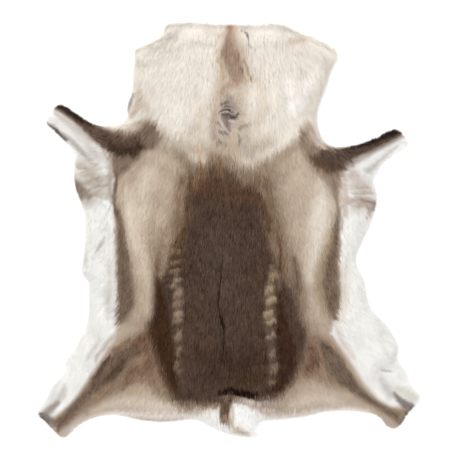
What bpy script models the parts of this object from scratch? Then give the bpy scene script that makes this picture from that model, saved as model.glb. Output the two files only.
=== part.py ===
"""A reindeer hide as it lies on a floor, hair side up, with the neck towards +Y and the tail towards -Y.

Skin, coat, legs, neck and tail are one piece, so they are one closed solid: a lumpy slab with a flat
underside, a rim of hair locks that lie level, and the coat's folds and rib marks raised in its top.
Every size here is in millimetres, and becomes metres where the mesh is made.
"""

import math
import random
from collections import namedtuple

import bmesh
import bpy
import numpy as np
from mathutils import Vector, noise
from mathutils.geometry import delaunay_2d_cdt, interpolate_bezier

MM = 0.001
SEED = 7

# The rim: one wedge-shaped lock of hair after another, their undersides level on the floor.
LOCK_PITCH = 17.0
LOCK_REACH = 4.0  # how far a tip stands out past the outline
LOCK_REACH_SPREAD = 3.0
LOCK_SWEEP = 5.0  # how far a tip is combed towards the tail
GAP_INSET = 4.0  # how far the gap between two locks lies inside the outline
CREST_INSET = 13.0  # how far inside the outline a lock is at its fullest
CREST_HEIGHT = 1.5  # how far it stands up there above the coat around it
GROOVE_INSET = 15.0  # how far inside the outline the groove between two locks ends
GROOVE_DEPTH = 2.5
TIP_HEIGHT = 2.5
GAP_HEIGHT = 5.5

# The coat's top.
COAT_PITCH = 15.8  # spacing of the points that carry the coat's height
SHOULDER = 46.0  # width over which the coat rises from the rim to its full height
LUMP_HEIGHT = 6.0  # between the highest and the lowest lumps, about
LUMP_WIDTH = 38.0
LUMP_LENGTH = 80.0  # lumps are drawn out along the back, the way the hair lies
FOLD_STEP = 12.0  # spacing of the points along a fold

# How deep the coat is, from the floor to its top, around each place on the hide.
Zone = namedtuple("Zone", "x y reach height")
COAT_ZONES = {
    "neck": Zone(0, 470, 150, 31),
    "neck left": Zone(-200, 430, 130, 28),
    "neck right": Zone(210, 430, 130, 28),
    "withers": Zone(0, 200, 150, 27),
    "shoulder left": Zone(-290, 230, 110, 24),
    "shoulder right": Zone(280, 200, 110, 24),
    "back": Zone(0, -50, 190, 29),
    "rump": Zone(0, -350, 170, 28),
    "flank left": Zone(-290, -40, 130, 23),
    "flank right": Zone(270, -40, 130, 23),
    "belly left": Zone(-410, -60, 90, 15),
    "belly right": Zone(380, -80, 90, 15),
    "foreleg left": Zone(-480, 300, 80, 11),
    "foreleg right": Zone(480, 270, 80, 11),
    "haunch left": Zone(-360, -430, 120, 21),
    "haunch right": Zone(350, -400, 120, 21),
    "hind leg left": Zone(-530, -540, 70, 12),
    "hind leg right": Zone(530, -500, 70, 12),
    "tail": Zone(30, -600, 60, 17),
}

# The outline, seen from above: corners of a smooth closed curve, in order down the hide's left side,
# along its tail end and up its right side. X is to the right and Y towards the neck.
OUTLINE = {
    "neck left": (
        (-190, 621), (-194, 591), (-219, 575), (-248, 560), (-284, 544), (-285, 507), (-290, 460),
        (-292, 410), (-303, 383), (-308, 365), (-302, 342), (-322, 321), (-350, 313), (-390, 313),
    ),
    "foreleg left": (
        (-424, 327), (-460, 352), (-490, 372), (-512, 382), (-526, 368), (-555, 322), (-539, 308),
        (-505, 276), (-481, 252), (-464, 235),
    ),
    "belly left": (
        (-466, 176), (-464, 135), (-450, 93), (-435, 51), (-434, 0), (-436, -80), (-444, -108),
        (-442, -136), (-424, -148), (-422, -198), (-423, -250), (-432, -291), (-447, -324),
    ),
    "hind leg left": (
        (-460, -352), (-482, -377), (-498, -393), (-490, -411), (-497, -430), (-520, -456),
        (-536, -467), (-543, -494), (-556, -517), (-579, -543), (-576, -559), (-556, -567),
        (-545, -586), (-525, -603), (-510, -622), (-498, -627), (-482, -615), (-450, -583),
        (-413, -565), (-376, -554), (-340, -553), (-298, -562), (-252, -571),
    ),
    "tail": (
        (-183, -573), (-118, -565), (-88, -569), (-68, -583), (-52, -591), (-17, -606), (25, -615),
        (73, -623), (94, -620), (82, -592), (90, -572), (111, -569),
    ),
    "hind leg right": (
        (154, -566), (226, -557), (280, -545), (334, -540), (381, -543), (427, -550), (450, -558),
        (461, -577), (477, -594), (494, -598), (513, -587), (527, -562), (541, -541), (560, -527),
        (575, -512), (578, -500), (563, -482), (544, -468), (536, -444), (534, -425), (520, -408),
        (502, -394), (500, -374), (508, -348),
    ),
    "belly right": (
        (490, -316), (476, -291), (454, -268), (428, -243), (415, -216), (410, -189), (404, -152),
        (389, -120), (377, -91), (385, -61), (404, -20), (421, 14), (435, 60), (442, 93), (438, 130),
        (425, 144),
    ),
    "foreleg right": (
        (445, 176), (459, 200), (490, 222), (523, 242), (543, 256), (520, 288), (507, 306),
        (490, 303), (458, 290), (421, 270), (385, 257), (339, 251),
    ),
    "neck right": (
        (311, 251), (288, 263), (270, 290), (262, 325), (263, 360), (275, 398), (292, 438),
        (300, 470), (312, 500), (325, 536), (292, 559), (265, 575), (229, 588), (192, 601),
        (164, 619), (141, 624), (82, 617), (22, 620), (-46, 621), (-105, 626),
    ),
}

# Folds in the coat: a positive height is a ridge and a negative one a trough.
Fold = namedtuple("Fold", "height half_width path")
FOLDS = {
    "parting of the nape": Fold(-3.5, 18, ((0, 605), (3, 540), (10, 490), (20, 445))),
    "crease along the back": Fold(-4.5, 13, (
        (-20, -60), (-23, -114), (-31, -205), (-29, -250), (-17, -292), (-17, -345), (-24, -390),
    )),
    "armpit left": Fold(-5, 14, ((-352, 215), (-338, 160), (-336, 90), (-334, 30))),
    "armpit right": Fold(-5, 14, ((318, 190), (312, 130), (316, 60), (322, 0))),
    "armpit ridge left upper": Fold(4, 13, ((-452, 206), (-410, 196), (-372, 206))),
    "armpit ridge left middle": Fold(4, 13, ((-448, 172), (-405, 166), (-366, 150))),
    "armpit ridge left lower": Fold(3.5, 13, ((-440, 130), (-404, 122), (-368, 118))),
    "armpit ridge right upper": Fold(4, 13, ((346, 182), (390, 176), (430, 180))),
    "armpit ridge right middle": Fold(4, 13, ((338, 148), (380, 140), (412, 142))),
    "armpit ridge right lower": Fold(3.5, 13, ((340, 112), (384, 104), (424, 108))),
    "shoulder left": Fold(-3, 22, ((-300, 330), (-262, 262), (-190, 232), (-130, 190))),
    "shoulder right": Fold(-3, 22, ((232, 320), (212, 262), (150, 212), (96, 188))),
    "belly fold left": Fold(3.5, 14, ((-402, -40), (-392, -5), (-374, 20))),
    "belly fold right": Fold(3.5, 14, ((412, -250), (436, -330), (480, -396))),
    "haunch left": Fold(-3.5, 22, ((-336, -336), (-420, -450), (-505, -580))),
    "haunch right": Fold(-3.5, 22, ((280, -350), (400, -450), (520, -556))),
    "neck edge left": Fold(3.5, 14, ((-262, 520), (-236, 540), (-214, 528))),
    "tail": Fold(5, 18, ((-12, -555), (-4, -586), (40, -604))),
}

# The nape's whorl: a low ridge that winds outwards.
WHORL_CENTRE = (-4, 352)
WHORL_HEIGHT = 3.5
WHORL_HALF_WIDTH = 8.0
WHORL_FIRST_RADIUS = 8.0
WHORL_LAST_RADIUS = 34.0
WHORL_TURNS = 1.5
WHORL_STEPS = 24

# Rib marks: short raised bumps in a column on each side of the back.
RibColumn = namedtuple("RibColumn", "x first_y last_y count")
RIB_COLUMNS = {
    "left": RibColumn(-152, -54, -423, 12),
    "right": RibColumn(123, -132, -460, 9),
}
RIB_HEIGHT = 4.5
RIB_HALF_WIDTH = 10.0
RIB_HALF_LENGTH = 15.0

CURVE_STEPS = 6  # short steps between two corners of the outline
# The closest that a fold's or a lock's point, and a plain point of the coat, may lie to another point,
# as shares of COAT_PITCH.
NEAREST_MARK = 0.41
NEAREST_PLAIN = 0.74
SHARP_EDGE = 50.0  # degrees between two faces past which their edge stays sharp


def smooth_loop(corners):
    """The closed curve through the corners, as an array of points."""
    corners = [Vector(corner) for corner in corners]
    points = []
    for i, here in enumerate(corners):
        before = corners[i - 1]
        after = corners[(i + 1) % len(corners)]
        beyond = corners[(i + 2) % len(corners)]
        leaving = here + (after - before) / 6
        arriving = after - (beyond - here) / 6
        points += interpolate_bezier(here, leaving, arriving, after, CURVE_STEPS + 1)[:-1]
    return np.array(points)[:, :2]


def evenly_along(points, count):
    """The ends of count equal steps along a polyline."""
    steps = np.linalg.norm(np.diff(points, axis=0), axis=1)
    travelled = np.concatenate([[0.0], np.cumsum(steps)])
    wanted = np.linspace(0.0, travelled[-1], count + 1)
    return np.column_stack([np.interp(wanted, travelled, points[:, axis]) for axis in (0, 1)])


def length_of(points):
    return np.linalg.norm(np.diff(points, axis=0), axis=1).sum()


def distance_to_path(point, path):
    """The distance from a point to the nearest place on a polyline."""
    starts = path[:-1]
    runs = path[1:] - starts
    share = ((point - starts) * runs).sum(axis=1) / (runs**2).sum(axis=1)
    nearest = starts + runs * np.clip(share, 0.0, 1.0)[:, None]
    return np.linalg.norm(point - nearest, axis=1).min()


def is_inside(point, loop):
    """Whether a point lies inside a closed loop, by counting the edges to its right."""
    ahead = np.roll(loop, -1, axis=0)
    spans = (loop[:, 1] > point[1]) != (ahead[:, 1] > point[1])
    start, end = loop[spans], ahead[spans]
    crossing = start[:, 0] + (point[1] - start[:, 1]) / (end[:, 1] - start[:, 1]) * (end[:, 0] - start[:, 0])
    return np.count_nonzero(crossing > point[0]) % 2 == 1


def rim_of_locks(outline):
    """The edge as a closed zigzag of gaps and lock tips, with each lock's crest and each groove's end."""
    rng = random.Random(SEED)
    loop = np.vstack([outline, outline[:1]])
    locks = round(length_of(loop) / LOCK_PITCH)
    marks = evenly_along(loop, 2 * locks)[:-1]
    along = np.roll(marks, -1, axis=0) - np.roll(marks, 1, axis=0)
    along /= np.linalg.norm(along, axis=1)[:, None]
    outward = np.column_stack([along[:, 1], -along[:, 0]])
    to_tail = -along[:, 1:] * along
    zigzag = marks - outward * GAP_INSET
    for i in range(1, 2 * locks, 2):
        reach = LOCK_REACH + rng.uniform(-1, 1) * LOCK_REACH_SPREAD
        zigzag[i] = marks[i] + outward[i] * reach + to_tail[i] * LOCK_SWEEP
    crests = (marks - outward * CREST_INSET)[1::2]
    grooves = (marks - outward * GROOVE_INSET)[0::2]
    return zigzag, crests, grooves


def whorl_path():
    """The winding ridge of the nape's whorl."""
    points = []
    for i in range(WHORL_STEPS + 1):
        share = i / WHORL_STEPS
        radius = WHORL_FIRST_RADIUS + share * (WHORL_LAST_RADIUS - WHORL_FIRST_RADIUS)
        angle = share * WHORL_TURNS * math.tau
        x = WHORL_CENTRE[0] + radius * math.cos(angle)
        y = WHORL_CENTRE[1] + radius * math.sin(angle)
        points.append((x, y))
    return tuple(points)


def all_folds():
    """The folds by hand, the whorl and the rib marks."""
    folds = list(FOLDS.values())
    folds.append(Fold(WHORL_HEIGHT, WHORL_HALF_WIDTH, whorl_path()))
    for column in RIB_COLUMNS.values():
        for y in np.linspace(column.first_y, column.last_y, column.count):
            ends = ((column.x - RIB_HALF_LENGTH, y), (column.x + RIB_HALF_LENGTH, y))
            folds.append(Fold(RIB_HEIGHT, RIB_HALF_WIDTH, ends))
    return [Fold(fold.height, fold.half_width, np.array(fold.path, float)) for fold in folds]


def fold_points(fold):
    """Points on a fold's crest and along both its feet."""
    crest = evenly_along(fold.path, max(2, round(length_of(fold.path) / FOLD_STEP)))
    along = np.gradient(crest, axis=0)
    along /= np.linalg.norm(along, axis=1)[:, None]
    aside = np.column_stack([-along[:, 1], along[:, 0]]) * fold.half_width
    return np.vstack([crest, crest + aside, crest - aside])


def lattice_points(outline):
    """A triangular lattice over the hide's box."""
    low, high = outline.min(axis=0), outline.max(axis=0)
    row_pitch = COAT_PITCH * math.sqrt(3) / 2
    points = []
    for row in range(int((high[1] - low[1]) / row_pitch) + 1):
        shift = COAT_PITCH / 2 * (row % 2)
        for column in range(int((high[0] - low[0]) / COAT_PITCH) + 1):
            points.append((low[0] + shift + column * COAT_PITCH, low[1] + row * row_pitch))
    return np.array(points)


def coat_points(outline, zigzag, crests, grooves, folds):
    """Every point inside the rim that carries a height, none too near another."""
    kept = list(zigzag)
    for fold in folds:
        kept += spread_out(fold_points(fold), kept, outline, NEAREST_MARK)
    kept += spread_out(crests, kept, outline, NEAREST_MARK)
    kept += spread_out(grooves, kept, outline, NEAREST_MARK)
    kept += spread_out(lattice_points(outline), kept, outline, NEAREST_PLAIN)
    return np.array(kept[len(zigzag):])


def spread_out(candidates, kept, outline, share):
    """The candidates that lie inside the rim, clear of the kept points and of each other."""
    clear = COAT_PITCH * share
    loop = np.vstack([outline, outline[:1]])
    placed = np.array(kept)
    added = []
    for point in candidates:
        if not is_inside(point, outline) or distance_to_path(point, loop) < GAP_INSET + clear / 2:
            continue
        if np.linalg.norm(placed - point, axis=1).min() < clear:
            continue
        placed = np.vstack([placed, point])
        added.append(point)
    return added


def zone_height(point):
    """The coat's depth at a point, blended from the zones around it."""
    total, weights = 0.0, 0.0
    for zone in COAT_ZONES.values():
        away = math.hypot(point[0] - zone.x, point[1] - zone.y) / zone.reach
        weight = math.exp(-away * away)
        total += weight * zone.height
        weights += weight
    return total / weights


def coat_height(point, loop, folds, crests, grooves):
    """The coat's top above the floor at a point inside the rim."""
    rise = min(1.0, distance_to_path(point, loop) / SHOULDER)
    rise = math.sin(rise * math.pi / 2)
    full = zone_height(point)
    place = Vector((point[0] / LUMP_WIDTH, point[1] / LUMP_LENGTH, SEED))
    height = GAP_HEIGHT + (full - GAP_HEIGHT + LUMP_HEIGHT * noise.noise(place)) * rise
    for fold in folds:
        away = distance_to_path(point, fold.path) / fold.half_width
        if away < 1:
            height += fold.height * (1 - away * away)
    if np.linalg.norm(crests - point, axis=1).min() < 1:
        height += CREST_HEIGHT
    if np.linalg.norm(grooves - point, axis=1).min() < 1:
        height -= GROOVE_DEPTH
    return max(height, GAP_HEIGHT)


def hide_mesh(name):
    """The slab: its plan is filled with triangles, drawn up off the floor and shaped into the coat.

    The origin is on the floor, below the middle of the hide's box.
    """
    outline = smooth_loop([corner for stretch in OUTLINE.values() for corner in stretch])
    loop = np.vstack([outline, outline[:1]])
    folds = all_folds()
    zigzag, crests, grooves = rim_of_locks(outline)
    inner = coat_points(outline, zigzag, crests, grooves, folds)

    rim = len(zigzag)
    centre = (zigzag.min(axis=0) + zigzag.max(axis=0)) / 2
    plan = [Vector(point) for point in np.vstack([zigzag, inner])]
    edges = [(i, (i + 1) % rim) for i in range(rim)]
    points, _, faces, origins, _, _ = delaunay_2d_cdt(plan, edges, [], 1, 0.01)
    if len(points) != len(plan):
        raise ValueError("two locks of the rim cross")

    shape = bmesh.new()
    top_height = shape.verts.layers.float.new("top height")
    floor_points = []
    for point, sources in zip(points, origins):
        corner = shape.verts.new(((point.x - centre[0]) * MM, (point.y - centre[1]) * MM, 0.0))
        if sources[0] >= rim:
            corner[top_height] = coat_height(np.array(point), loop, folds, crests, grooves)
        else:
            corner[top_height] = TIP_HEIGHT if sources[0] % 2 else GAP_HEIGHT
        floor_points.append(corner)
    floor_faces = [shape.faces.new([floor_points[i] for i in face]) for face in faces]
    raised = bmesh.ops.extrude_face_region(shape, geom=floor_faces, use_keep_orig=True)
    for item in raised["geom"]:
        if isinstance(item, bmesh.types.BMVert):
            item.co.z = item[top_height] * MM
    flat = [edge for edge in shape.edges if all(vertex.co.z == 0.0 for vertex in edge.verts)]
    bmesh.ops.dissolve_limit(shape, angle_limit=0.001, verts=[], edges=flat)
    bmesh.ops.recalc_face_normals(shape, faces=shape.faces)

    mesh = bpy.data.meshes.new(name)
    shape.to_mesh(mesh)
    shape.free()
    return mesh


def hair_material():
    """The coat's mean colour, a dry grey brown."""
    material = bpy.data.materials.new("reindeer hair")
    material.use_nodes = True
    surface = material.node_tree.nodes["Principled BSDF"]
    surface.inputs["Base Color"].default_value = (0.40, 0.33, 0.27, 1.0)
    surface.inputs["Roughness"].default_value = 0.85
    surface.inputs["Metallic"].default_value = 0.0
    return material


def main():
    for old in list(bpy.data.objects):
        bpy.data.objects.remove(old, do_unlink=True)
    collection = bpy.data.collections.new("reindeer hide")
    bpy.context.scene.collection.children.link(collection)

    mesh = hide_mesh("hide")
    mesh.materials.append(hair_material())
    mesh.shade_smooth()
    mesh.set_sharp_from_angle(angle=math.radians(SHARP_EDGE))
    hide = bpy.data.objects.new("hide", mesh)
    collection.objects.link(hide)


main()
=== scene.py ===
"""A reindeer hide, hair side up on a pale floor, seen from straight above.

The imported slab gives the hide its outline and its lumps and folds. A thin skin lies under it, a bed of
underfur follows its top, and guard hair grows on the bed, combed from the neck to the tail and outwards
to the legs. The coat's colours are painted hair by hair, in strokes of real size.
Sizes are in millimetres, x to the right and y towards the neck, and become metres where meshes are made.
"""

import math
from collections import namedtuple

import bmesh
import bpy
import numpy as np
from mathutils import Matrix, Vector
from mathutils.bvhtree import BVHTree
from mathutils.geometry import delaunay_2d_cdt, interpolate_bezier
from mathutils.kdtree import KDTree


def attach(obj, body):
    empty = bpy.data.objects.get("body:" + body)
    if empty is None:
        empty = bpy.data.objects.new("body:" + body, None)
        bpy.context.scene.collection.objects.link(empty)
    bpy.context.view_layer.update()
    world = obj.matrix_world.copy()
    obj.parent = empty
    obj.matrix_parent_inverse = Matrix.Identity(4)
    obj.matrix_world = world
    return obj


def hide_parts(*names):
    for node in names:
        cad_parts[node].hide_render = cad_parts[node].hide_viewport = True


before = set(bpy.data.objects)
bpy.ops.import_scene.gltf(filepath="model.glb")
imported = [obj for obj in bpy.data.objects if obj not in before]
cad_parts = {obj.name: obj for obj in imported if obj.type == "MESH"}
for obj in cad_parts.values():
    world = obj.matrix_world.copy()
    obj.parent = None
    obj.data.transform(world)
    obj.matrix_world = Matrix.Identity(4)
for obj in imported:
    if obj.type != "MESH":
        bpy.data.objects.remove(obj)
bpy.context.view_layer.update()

MM = 0.001
SEED = 11

# ---- The skin, flesh side down.
SKIN_THICK = 2.0
SKIN_INSET = 2.0  # how far the cut edge lies inside the gaps between the rim's locks
SKIN_PITCH = 14.0
PUCKER_HIGH = 3.0  # how far the skin lifts off the floor where it has dried unevenly
PUCKER_WIDE = 75.0
PUCKER_FROM = 80.0  # how far inside the rim a pucker reaches its full height

# ---- The bed of underfur.
BED_PITCH = 6.5
BED_INSET = 3.0
BED_LEAST = 2.6  # its least height, just above the skin
PILE = 6.5  # how far the guard hair stands above the bed, so the bed lies this far below the slab's top
UNDERFUR_SHADE = 0.62  # how bright it is under dark hair, as a share of the hair
UNDERFUR_PALE_FROM = 0.6  # hair of this brightness has underfur as bright as itself
SMOOTHINGS = 4  # times that the slab's facets are evened out
NET_CLEAR = 0.55  # the inner points of a net keep this share of its pitch clear of its edge
NET_EXACT = 0.001  # points of a net that lie this near each other are one

# ---- Reading the slab.
SAME_PLACE = 0.01  # corners this near each other are one, and this near the floor lie on it
FACING_DOWN = -0.9  # a face whose normal points down at least so far is on the slab's underside
ABOVE_SLAB = 100.0
STEPS = {"skin": 2, "bed": 3, "hair": 6}  # how many steps an outline has from one gap of the rim to the next

# ---- The guard hair.
HAIRS = 290_000  # no more than this, so that no piece is too heavy; their spacing leaves fewer
HAIR_PIECES = ("hair_neck", "hair_shoulders", "hair_waist", "hair_loins", "hair_haunches")
HAIR_SPACING = 1.38  # no two roots are nearer
HAIRS_MOST = 1_200_000.0  # the most roots tried on a square metre; their spacing thins them out
HAIR_WIDE = 1.35  # one blade is a few hairs side by side
HAIR_WIDE_SPREAD = 0.25  # as a share, either way
HAIR_ROLL = 8.0  # degrees either way
BLADE = ((0.0, 0.8, 0.0), (0.5, 1.0, 0.12))  # its root and middle: how far along, how wide and how high
CELL_ALONG = (0.08, 0.5, 0.95)  # where its root, middle and tip lie in its cell of the map made for baking
CELL_ACROSS = (0.1, 0.5, 0.9)  # and where its left edge, middle and right edge do
HAIR_STRAY = 0.06  # how far single hairs leave the lie, as a share of their length
HAIR_LENGTH_SPREAD = 0.22  # as a share, either way
LENGTH_SWAY = (0.1, 30.0)  # by what share the coat's length changes, and over how wide a place
LIE_SWAYS = ((11.0, 48.0), (9.0, 17.0))  # by how many degrees the lie turns, and over how wide a place
FAR_PLACES = 1e-5  # how much far places count in the lie, so that every hair has one
STEEPEST = 0.34  # the most that a hair climbs, as a share of its length
HAIR_FLOOR = 0.35  # no hair lies lower than this above the floor
COLOUR_AT = 0.6  # the share of a hair's length at which its colour is read, as only that part shows
COLOUR_STRAY = 0.16  # how far along the lie a colour wanders, as a share of the hair's length
COLOUR_STRAY_ALONE = 0.5  # how much single hairs do so by chance
COLOUR_STRAY_WIDE = 5.0  # hairs also do so together, in places so wide
COLOUR_STRAY_NARROW = 0.3  # and this share as wide as they are long
COLOUR_ENDS = (0.004, 0.93)  # no hair is darker or paler than these

TUFT = 13.0  # the width of a tuft of hair
TUFT_STRAY = 0.42  # how far a tuft's middle lies off its cell's middle, as a share of the cell
TUFT_PULL = 0.25  # how far the tips of a tuft lean together
TUFT_LONG = 30.0  # hair of this length leans together in full
TUFT_SHADE = 0.008  # how far the shade varies from tuft to tuft
HAIR_SHADE = 0.02  # from hair to hair
PATCH_SHADE = 0.0075  # and from patch to patch
PATCH_SIZES = ((22.0, 1.0), (7.0, 2.0), (11.0, 1.0))  # how wide each sort is, and how many times longer
DARK_BELOW = 0.4  # linear brightness under which hair counts as dark, more so towards black
DARK_CONTRAST = 12.0  # how much more the shade varies in the darkest hair
PALE_HAIRS = 0.10  # the share of dark hairs that are paler than the rest
PALE_LIFT = 0.5  # and by how much

RIM_BAND = 30.0  # near the rim the hair turns outwards
RIM_BACK_BAND = 9.0  # and where it lies inwards, so near
RIM_INWARDS = -0.2  # the lie is inwards where less than this share of it points out
RIM_TURN = 0.9  # how far it turns, from not at all to straight out
RIM_FLATTER = 0.25  # the share of its rise that hair keeps at the rim
RIM_OVER = 5.5  # how far hair may reach past the gaps of the rim
RIM_UNEVEN = (0.3, 1.1)  # the shares of that reach that single hairs have
RIM_LEAVING = 0.2  # hair along the rim is cut off as if so much of it pointed out
RIM_LOCK = 0.3  # how far it gathers into the rim's locks

# How the coat lies around each place: across and along give the way it points, to the right and towards
# the neck, rise is its angle off the skin in degrees.
Coat = namedtuple("Coat", "x y reach across along length rise")
COAT = {
    "nape": Coat(0, 560, 120, 0.0, -1.0, 26, 15),
    "nape stripe": Coat(12, 480, 60, 0.0, -1.0, 16, 14),
    "nape foot": Coat(15, 280, 60, 0.0, -1.0, 14, 14),
    "neck left": Coat(-220, 470, 100, -0.35, -0.94, 38, 16),
    "neck right": Coat(230, 470, 100, 0.35, -0.94, 38, 16),
    "throat left": Coat(-270, 370, 70, -0.7, -0.7, 30, 14),
    "throat right": Coat(245, 350, 70, 0.7, -0.7, 30, 14),
    "withers": Coat(0, 230, 130, 0.0, -1.0, 34, 14),
    "back": Coat(0, -60, 170, 0.0, -1.0, 28, 13),
    "loin": Coat(0, -350, 150, 0.0, -1.0, 28, 13),
    "shoulder left": Coat(-260, 210, 80, -0.45, -0.9, 28, 13),
    "shoulder right": Coat(260, 190, 80, 0.45, -0.9, 28, 13),
    "foreleg left": Coat(-420, 305, 60, -0.93, 0.36, 15, 10),
    "foreleg left tip": Coat(-525, 345, 60, -0.8, 0.6, 11, 9),
    "foreleg right": Coat(420, 240, 60, 0.95, 0.3, 15, 10),
    "foreleg right tip": Coat(510, 275, 60, 0.88, 0.48, 11, 9),
    "flank left": Coat(-280, -20, 110, -0.25, -0.97, 28, 12),
    "flank right": Coat(270, -20, 110, 0.25, -0.97, 28, 12),
    "armpit left": Coat(-400, 150, 60, -0.8, -0.6, 26, 15),
    "armpit right": Coat(385, 130, 60, 0.8, -0.6, 26, 15),
    "belly left": Coat(-400, -60, 70, -0.75, -0.66, 34, 12),
    "belly left low": Coat(-410, -250, 70, -0.75, -0.66, 32, 12),
    "belly right": Coat(380, -60, 70, 0.75, -0.66, 32, 12),
    "belly right low": Coat(420, -300, 70, 0.75, -0.66, 32, 12),
    "haunch left": Coat(-300, -410, 90, -0.5, -0.86, 24, 12),
    "haunch right": Coat(290, -400, 90, 0.5, -0.86, 24, 12),
    "hind leg left": Coat(-480, -510, 80, -0.65, -0.76, 14, 10),
    "hind leg right": Coat(490, -500, 80, 0.75, -0.66, 14, 10),
    "rump left": Coat(-160, -520, 60, -0.1, -1.0, 26, 12),
    "rump right": Coat(170, -510, 60, 0.1, -1.0, 26, 12),
    "ribs left upper": Coat(-165, -110, 60, 0.0, -1.0, 15, 16),
    "ribs left": Coat(-165, -230, 60, 0.0, -1.0, 15, 16),
    "ribs left lower": Coat(-160, -350, 60, 0.0, -1.0, 16, 16),
    "ribs right upper": Coat(122, -170, 60, 0.0, -1.0, 15, 16),
    "ribs right": Coat(122, -280, 60, 0.0, -1.0, 15, 16),
    "ribs right lower": Coat(124, -390, 60, 0.0, -1.0, 16, 16),
    "tail root": Coat(10, -495, 45, 0.0, -1.0, 14, 13),
    "tail": Coat(0, -560, 40, 0.1, -1.0, 30, 13),
    "tail tip": Coat(60, -600, 40, 0.85, -0.5, 28, 10),
}

# The nape's whorl, where the hair turns round.
WHORL = (0, 350)
WHORL_REACH = 42.0
WHORL_TURN = 2.4  # how strongly the hair turns round its middle, against the lie of the nape
WHORL_OUT = 0.4  # and how strongly it points away from there
WHORL_SHORT = 0.6  # the share of its length that hair loses in the middle

# Creases in the coat, in order down the hide: a positive height is a ridge and a negative one a trough.
Crease = namedtuple("Crease", "height half_width path")
CREASES = {
    "parting of the nape": Crease(-2.5, 9, ((2, 600), (2, 560), (6, 520))),
    "nape left": Crease(-2.0, 8, ((-38, 515), (-26, 490), (-20, 455))),
    "nape right": Crease(-2.0, 8, ((46, 508), (58, 475), (66, 448))),
    "armpit left upper": Crease(-3.0, 8, ((-450, 186), (-418, 188), (-394, 182), (-364, 194))),
    "armpit left middle": Crease(-3.0, 7, ((-404, 164), (-380, 152), (-352, 156))),
    "armpit left lower": Crease(-3.5, 8, ((-440, 136), (-410, 128), (-386, 138), (-356, 142))),
    "armpit left last": Crease(-3.0, 7, ((-396, 110), (-370, 102), (-350, 92))),
    "armpit right upper": Crease(-3.0, 7, ((356, 130), (392, 134), (420, 129))),
    "armpit right middle": Crease(-3.0, 7, ((364, 115), (398, 115), (426, 111))),
    "armpit right lower": Crease(-3.5, 7, ((350, 90), (380, 99), (404, 93), (432, 90))),
    "crease along the back": Crease(-5.5, 7, (
        (-22, -90), (-24, -130), (-31, -200), (-30, -250), (-18, -292), (-16, -345), (-24, -388),
    )),
    "belly left": Crease(3.0, 8, ((-398, -64), (-388, -40), (-374, -20))),
    "belly right": Crease(-3.0, 7, ((448, -416), (466, -420), (486, -424))),
    "tail root": Crease(-4.0, 9, ((-36, -487), (0, -483), (44, -492), (90, -501))),
    "tail": Crease(-3.0, 9, ((-30, -540), (-34, -570), (-24, -596))),
}

# Rib marks, in a column on each side of the back, first left and then right: x, y and half of the width and
# of the height of each raised, paler bump.
Rib = namedtuple("Rib", "x y half_width half_height colour")
RIBS = (
    Rib(-157.5, -66, 15, 5.4, "87765F"),
    Rib(-160.5, -96, 15, 5.7, "8A7962"),
    Rib(-163.5, -121.5, 15, 6.6, "8C7B65"),
    Rib(-153, -147, 13.8, 7.2, "8E7D68"),
    Rib(-168, -166.5, 9, 7.8, "968771"),
    Rib(-153, -189, 10.2, 13.8, "86745F"),
    Rib(-156, -219, 11.4, 13.2, "88765F"),
    Rib(-153, -250.5, 13.8, 12.6, "94826A"),
    Rib(-156, -271.5, 15, 10.2, "9A8A70"),
    Rib(-153, -316.5, 10.2, 16.5, "8A796A"),
    Rib(-150, -360, 7.8, 12.6, "7B6A5C"),
    Rib(-159, -405, 8.4, 12, "7B6A5C"),
    Rib(-151.5, -423, 8.4, 9, "78675A"),
    Rib(130.5, -139.5, 12.6, 14.4, "94836C"),
    Rib(120, -178.5, 13.2, 15, "998972"),
    Rib(124.5, -208.5, 15, 13.8, "A4947D"),
    Rib(115.5, -250.5, 14.4, 10.8, "A0907A"),
    Rib(124.5, -271.5, 15, 12, "A6967F"),
    Rib(123, -318, 15, 9, "A69682"),
    Rib(130.5, -366, 10.2, 16.5, "7E6D5E"),
    Rib(136.5, -414, 10.8, 16.5, "826F61"),
    Rib(126, -459, 11.4, 7.2, "77674F"),
)
RIB_HEIGHT = 3.0
RIB_ROUND = 0.7  # how far a mark's ends are round: 1 would round them in full
RIB_SOFT = 10.0  # the width over which its colour and height fade
RIB_STRENGTH = 0.75
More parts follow.
